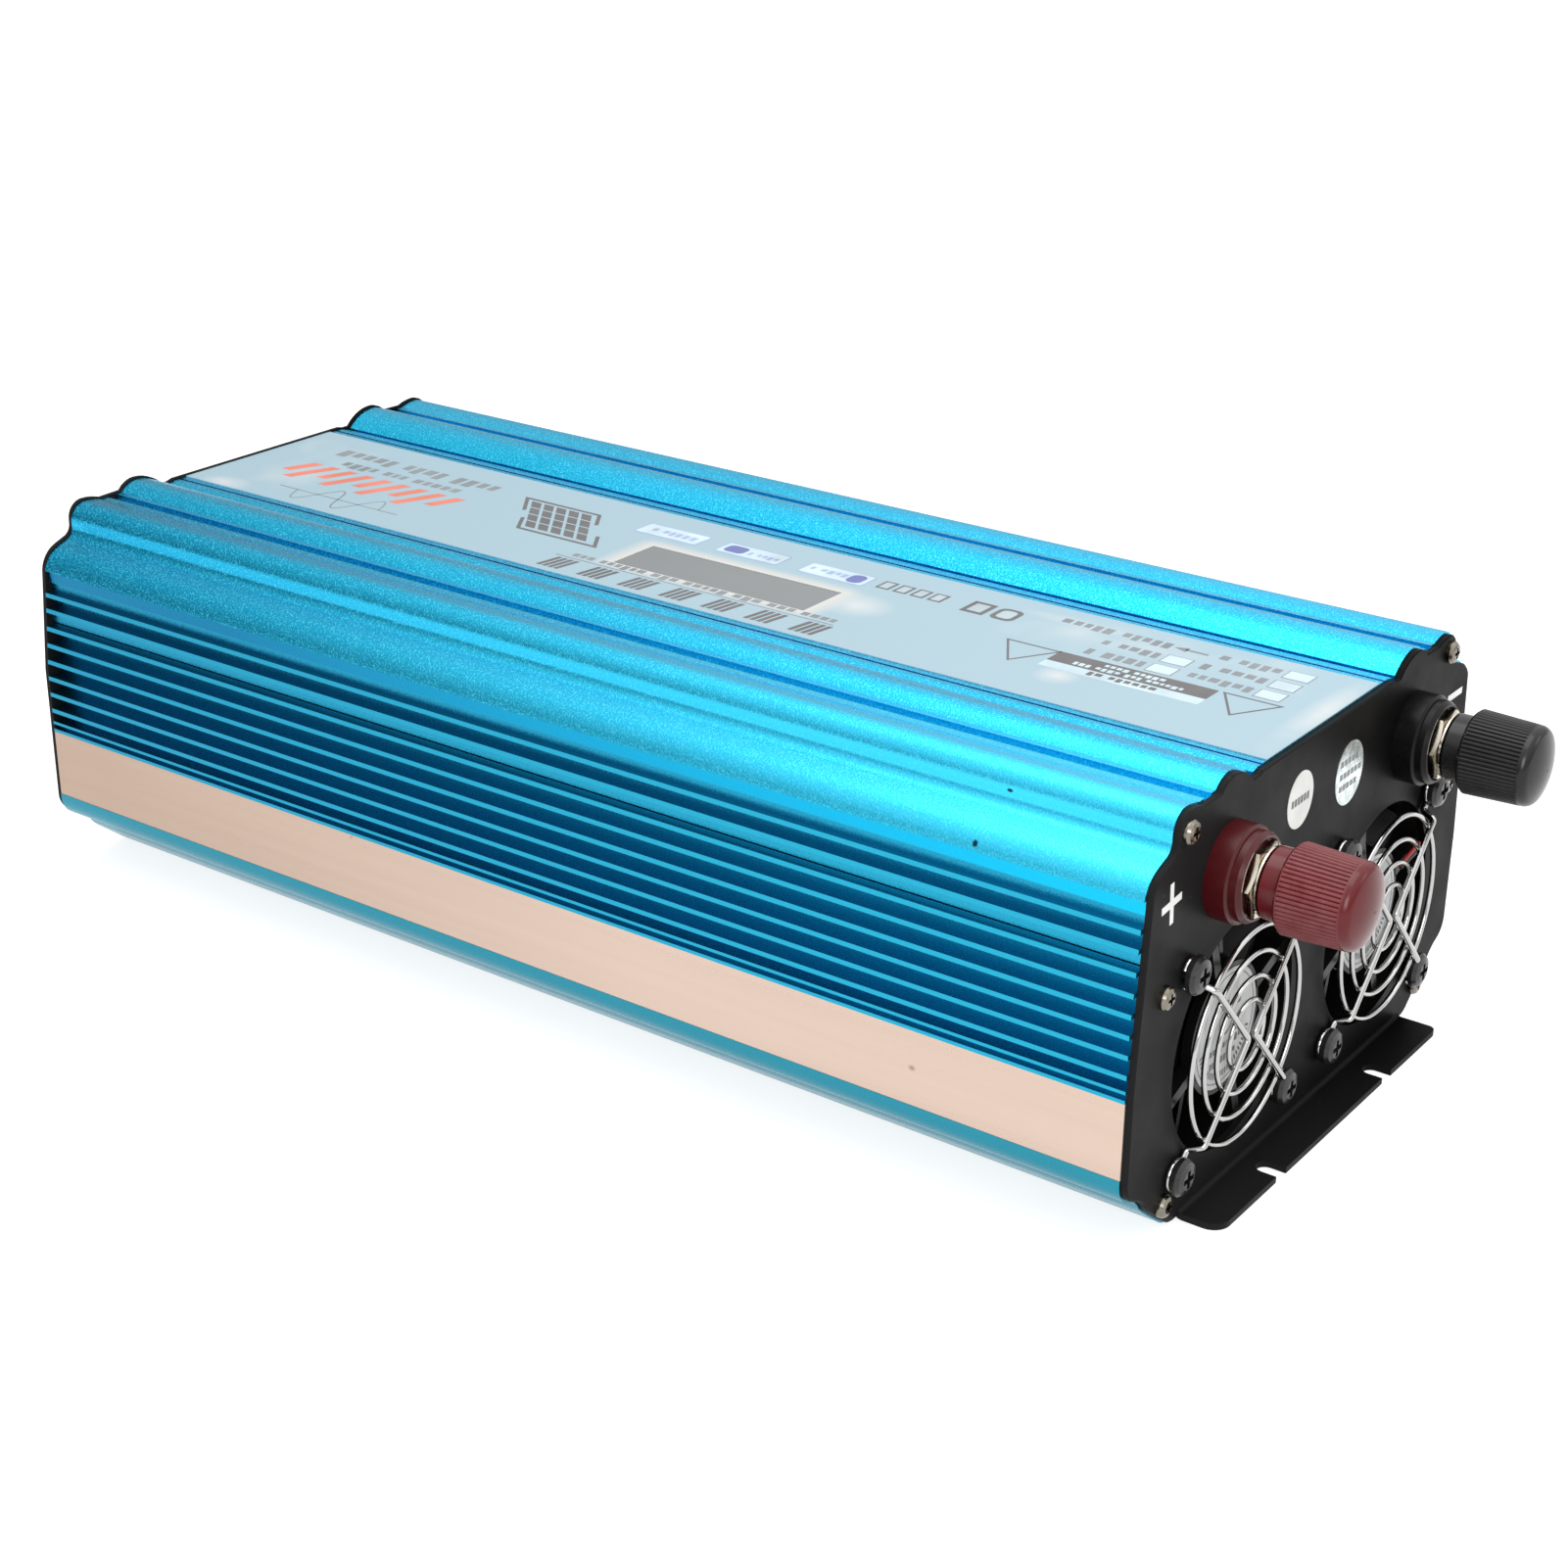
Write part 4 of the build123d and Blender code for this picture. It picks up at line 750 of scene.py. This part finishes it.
# ---------------------------------------------------------------- plate marks
PLATE_THICK = 0.09
PLUS_MARK, MINUS_MARK = (-71.8, 83.6, 8.4, 1.5, 0.09, 0.10), (68.0, 76.6, 84.25, 85.95)


def plate_marks():
    """The polarity marks, and the blocks on the two round stickers between the terminals."""

    def put(name, shapes, finish, face):
        place = (lambda u, v, lift: (u, face - lift, v))
        print_shapes(name, shapes, finish, place, PLATE_THICK, PRINT_SINK)

    put("polarity_marks", plus(*PLUS_MARK) + [rect(*MINUS_MARK)], "ink_white", FACE)

    white, silver = node_box("sticker_white"), node_box("sticker_silver")
    u, v = (white[0].x + white[1].x) / 2, (white[0].z + white[1].z) / 2
    starts = [u - 4.4 + k * 1.5 for k in range(6)]
    marks = [rect(start, start + 1.0, v - 0.9, v + 0.9) for start in starts]
    put("sticker_white_marks", marks, "ink_dark", STICKER)
    u, v = (silver[0].x + silver[1].x) / 2, (silver[0].z + silver[1].z) / 2
    marks = [rect(u - 5.0 + k * 1.9, u - 3.7 + k * 1.9, v + row, v + row + 1.4)
             for row, count in ((2.6, 5), (-0.6, 6), (-3.6, 5)) for k in range(count)]
    put("sticker_silver_marks", marks, "ink_grey", silver[0].y)


# printing on the fans' stickers, in millimetres and degrees
HUB_RING, HUB_BADGE = 13.4, 3.0
HUB_BARS, HUB_BAR_FROM, HUB_BAR_STEP, HUB_BAR_SPAN = 26, 196, 5.8, (10.6, 12.2)


def hub_marks():
    """Printing on the two fan stickers: two rings, short bars on an arc, and rows of blocks."""
    for side in ("left", "right"):
        low, high = node_box(f"fan_sticker_{side}")
        u, v = (low.x + high.x) / 2, (low.z + high.z) / 2
        shapes = stroke(arc(u, v, HUB_RING, 0, 360, 60)[:-1], 0.25, close=True)
        shapes += stroke(arc(u, v + 1.5, HUB_BADGE, 0, 360, 30)[:-1], 0.6, close=True)
        for k in range(HUB_BARS):
            angle = math.radians(HUB_BAR_FROM + k * HUB_BAR_STEP)
            ends = [(u + r * math.cos(angle), v + r * math.sin(angle)) for r in HUB_BAR_SPAN]
            shapes += stroke(ends, 0.6)
        shapes += word_rows([(u - 8, u + 8, v - 4.5, 1.9), (u - 6.5, u + 6.5, v - 7.6, 1.7),
                             (u - 6, u + 7, v + 5.5, 2.8, 0.5)])
        place = (lambda a, b, lift: (a, low.y - lift, b))
        print_shapes(f"hub_print_{side}", shapes, "ink_dark", place, PRINT_THICK, PRINT_SINK)


def lead(name, points, radius, finish, sides=10):
    """Closed round lead through points in millimetres."""
    ring_points, faces = [], []
    for k, here in enumerate(points):
        before, after = points[max(k - 1, 0)], points[min(k + 1, len(points) - 1)]
        along = (Vector(after) - Vector(before)).normalized()
        across = along.cross(Vector((0, 1, 0.01))).normalized()
        other = along.cross(across)
        for n in range(sides):
            angle = 2 * math.pi * n / sides
            spoke = math.cos(angle) * across + math.sin(angle) * other
            ring_points.append(tuple(Vector(here) + radius * spoke))
    for k in range(len(points) - 1):
        for n in range(sides):
            a, b = k * sides + n, k * sides + (n + 1) % sides
            faces.append([a, b, b + sides, a + sides])
    faces.append(list(range(sides)))
    faces.append([(len(points) - 1) * sides + n for n in reversed(range(sides))])
    return add_mesh(name, ring_points, faces, finish, smooth=True)


# the fan's leads: radii and angles about the hub, in millimetres and degrees; half the angle between
# them, their own radius, and how far out of the frame they lie
WIRE_ROUTE = ((16.4, 25), (18.5, 23), (21.0, 21.5), (24.0, 20), (27.0, 19))
WIRE_TURN, WIRE_RADIUS, WIRE_LIFT = 1.8, 0.55, 0.6


def fan_wires():
    """The right fan's two leads, laid along one strut from the motor to the rim."""
    low, high = node_box("fan_sticker_right")
    u, v = (low.x + high.x) / 2, (low.z + high.z) / 2
    y = node_box("fan_frame_right")[0].y - WIRE_LIFT
    for finish, turn in (("red_lead", WIRE_TURN), ("black_lead", -WIRE_TURN)):
        route = []
        for radius, angle in WIRE_ROUTE:
            spot = math.radians(angle + turn)
            route.append((u + radius * math.cos(spot), y, v + radius * math.sin(spot)))
        lead(f"fan_wire_{finish}", route, WIRE_RADIUS, finish)


plate_marks()
hub_marks()
fan_wires()


# ---------------------------------------------------------------- stage
FLOOR_HALF, FLOOR_DROP = 30.0, 0.0002     # metres; the drop keeps it clear of the case's underside

# the sky's level goes from one value to the other between two directions, along each axis
SKY = (("Z", 0.02, 0.80, 0.42, 1.20), ("Y", 0.36, 0.80, 1.42, 0.42))

# area lights: place, what they look at, size and power
LIGHTS = {"overhead": ((0.0, -0.1, 1.6), (0, 0, 0.05), (1.2, 1.4), 12),
          "left_front": ((-1.4, -1.0, 0.8), (0, 0, 0.05), (0.8, 0.8), 12),
          "right_front": ((0.9, -1.4, 0.7), (0, -0.1, 0.05), (0.6, 0.6), 1.5)}


def make_stage():
    """A wide pale floor that glows a little, so that it comes out white behind the case."""
    corners = ((-1, -1), (1, -1), (1, 1), (-1, 1))
    mesh = bpy.data.meshes.new("floor")
    mesh.from_pydata([(x * FLOOR_HALF, y * FLOOR_HALF, 0) for x, y in corners], [], [(0, 1, 2, 3)])
    floor = bpy.data.objects.new("floor", mesh)
    pale = Finish("floor_pale", (0.34, 0.34, 0.34), 0.9, Specular_IOR_Level=0.1,
                  Emission_Color=(1, 1, 1, 1), Emission_Strength=0.77)
    mesh.materials.append(pale.mat)
    bpy.context.scene.collection.objects.link(floor)
    floor.location.z = -FLOOR_DROP


def add_light(name, at, towards, size, power):
    data = bpy.data.lights.new(name, "AREA")
    data.shape = "RECTANGLE"
    data.size, data.size_y = size
    data.energy = power
    lamp = bpy.data.objects.new(name, data)
    lamp.location = at
    lamp.rotation_euler = (Vector(towards) - Vector(at)).to_track_quat("-Z", "Y").to_euler()
    bpy.context.scene.collection.objects.link(lamp)


def sky(world):
    """Bright overhead, dim at the horizon and past the far end, for metal to reflect."""
    tree = world.node_tree
    place = tree.nodes.new("ShaderNodeTexCoord")
    split = tree.nodes.new("ShaderNodeSeparateXYZ")
    tree.links.new(place.outputs["Generated"], split.inputs["Vector"])
    level = tree.nodes.new("ShaderNodeMath")
    level.operation = "MULTIPLY"
    for slot, (axis, low, high, out_low, out_high) in enumerate(SKY):
        ramp = tree.nodes.new("ShaderNodeMapRange")
        ends = (("From Min", low), ("From Max", high), ("To Min", out_low), ("To Max", out_high))
        for key, value in ends:
            ramp.inputs[key].default_value = value
        tree.links.new(split.outputs[axis], ramp.inputs["Value"])
        tree.links.new(ramp.outputs["Result"], level.inputs[slot])
    tree.links.new(level.outputs["Value"], tree.nodes["Background"].inputs["Strength"])


def make_light():
    scene = bpy.context.scene
    scene.view_settings.view_transform = "Standard"
    world = bpy.data.worlds.new("studio")
    world.use_nodes = True
    world.node_tree.nodes["Background"].inputs["Color"].default_value = (1, 1, 1, 1)
    sky(world)
    scene.world = world
    for name, light in LIGHTS.items():
        add_light(name, *light)


make_stage()
make_light()
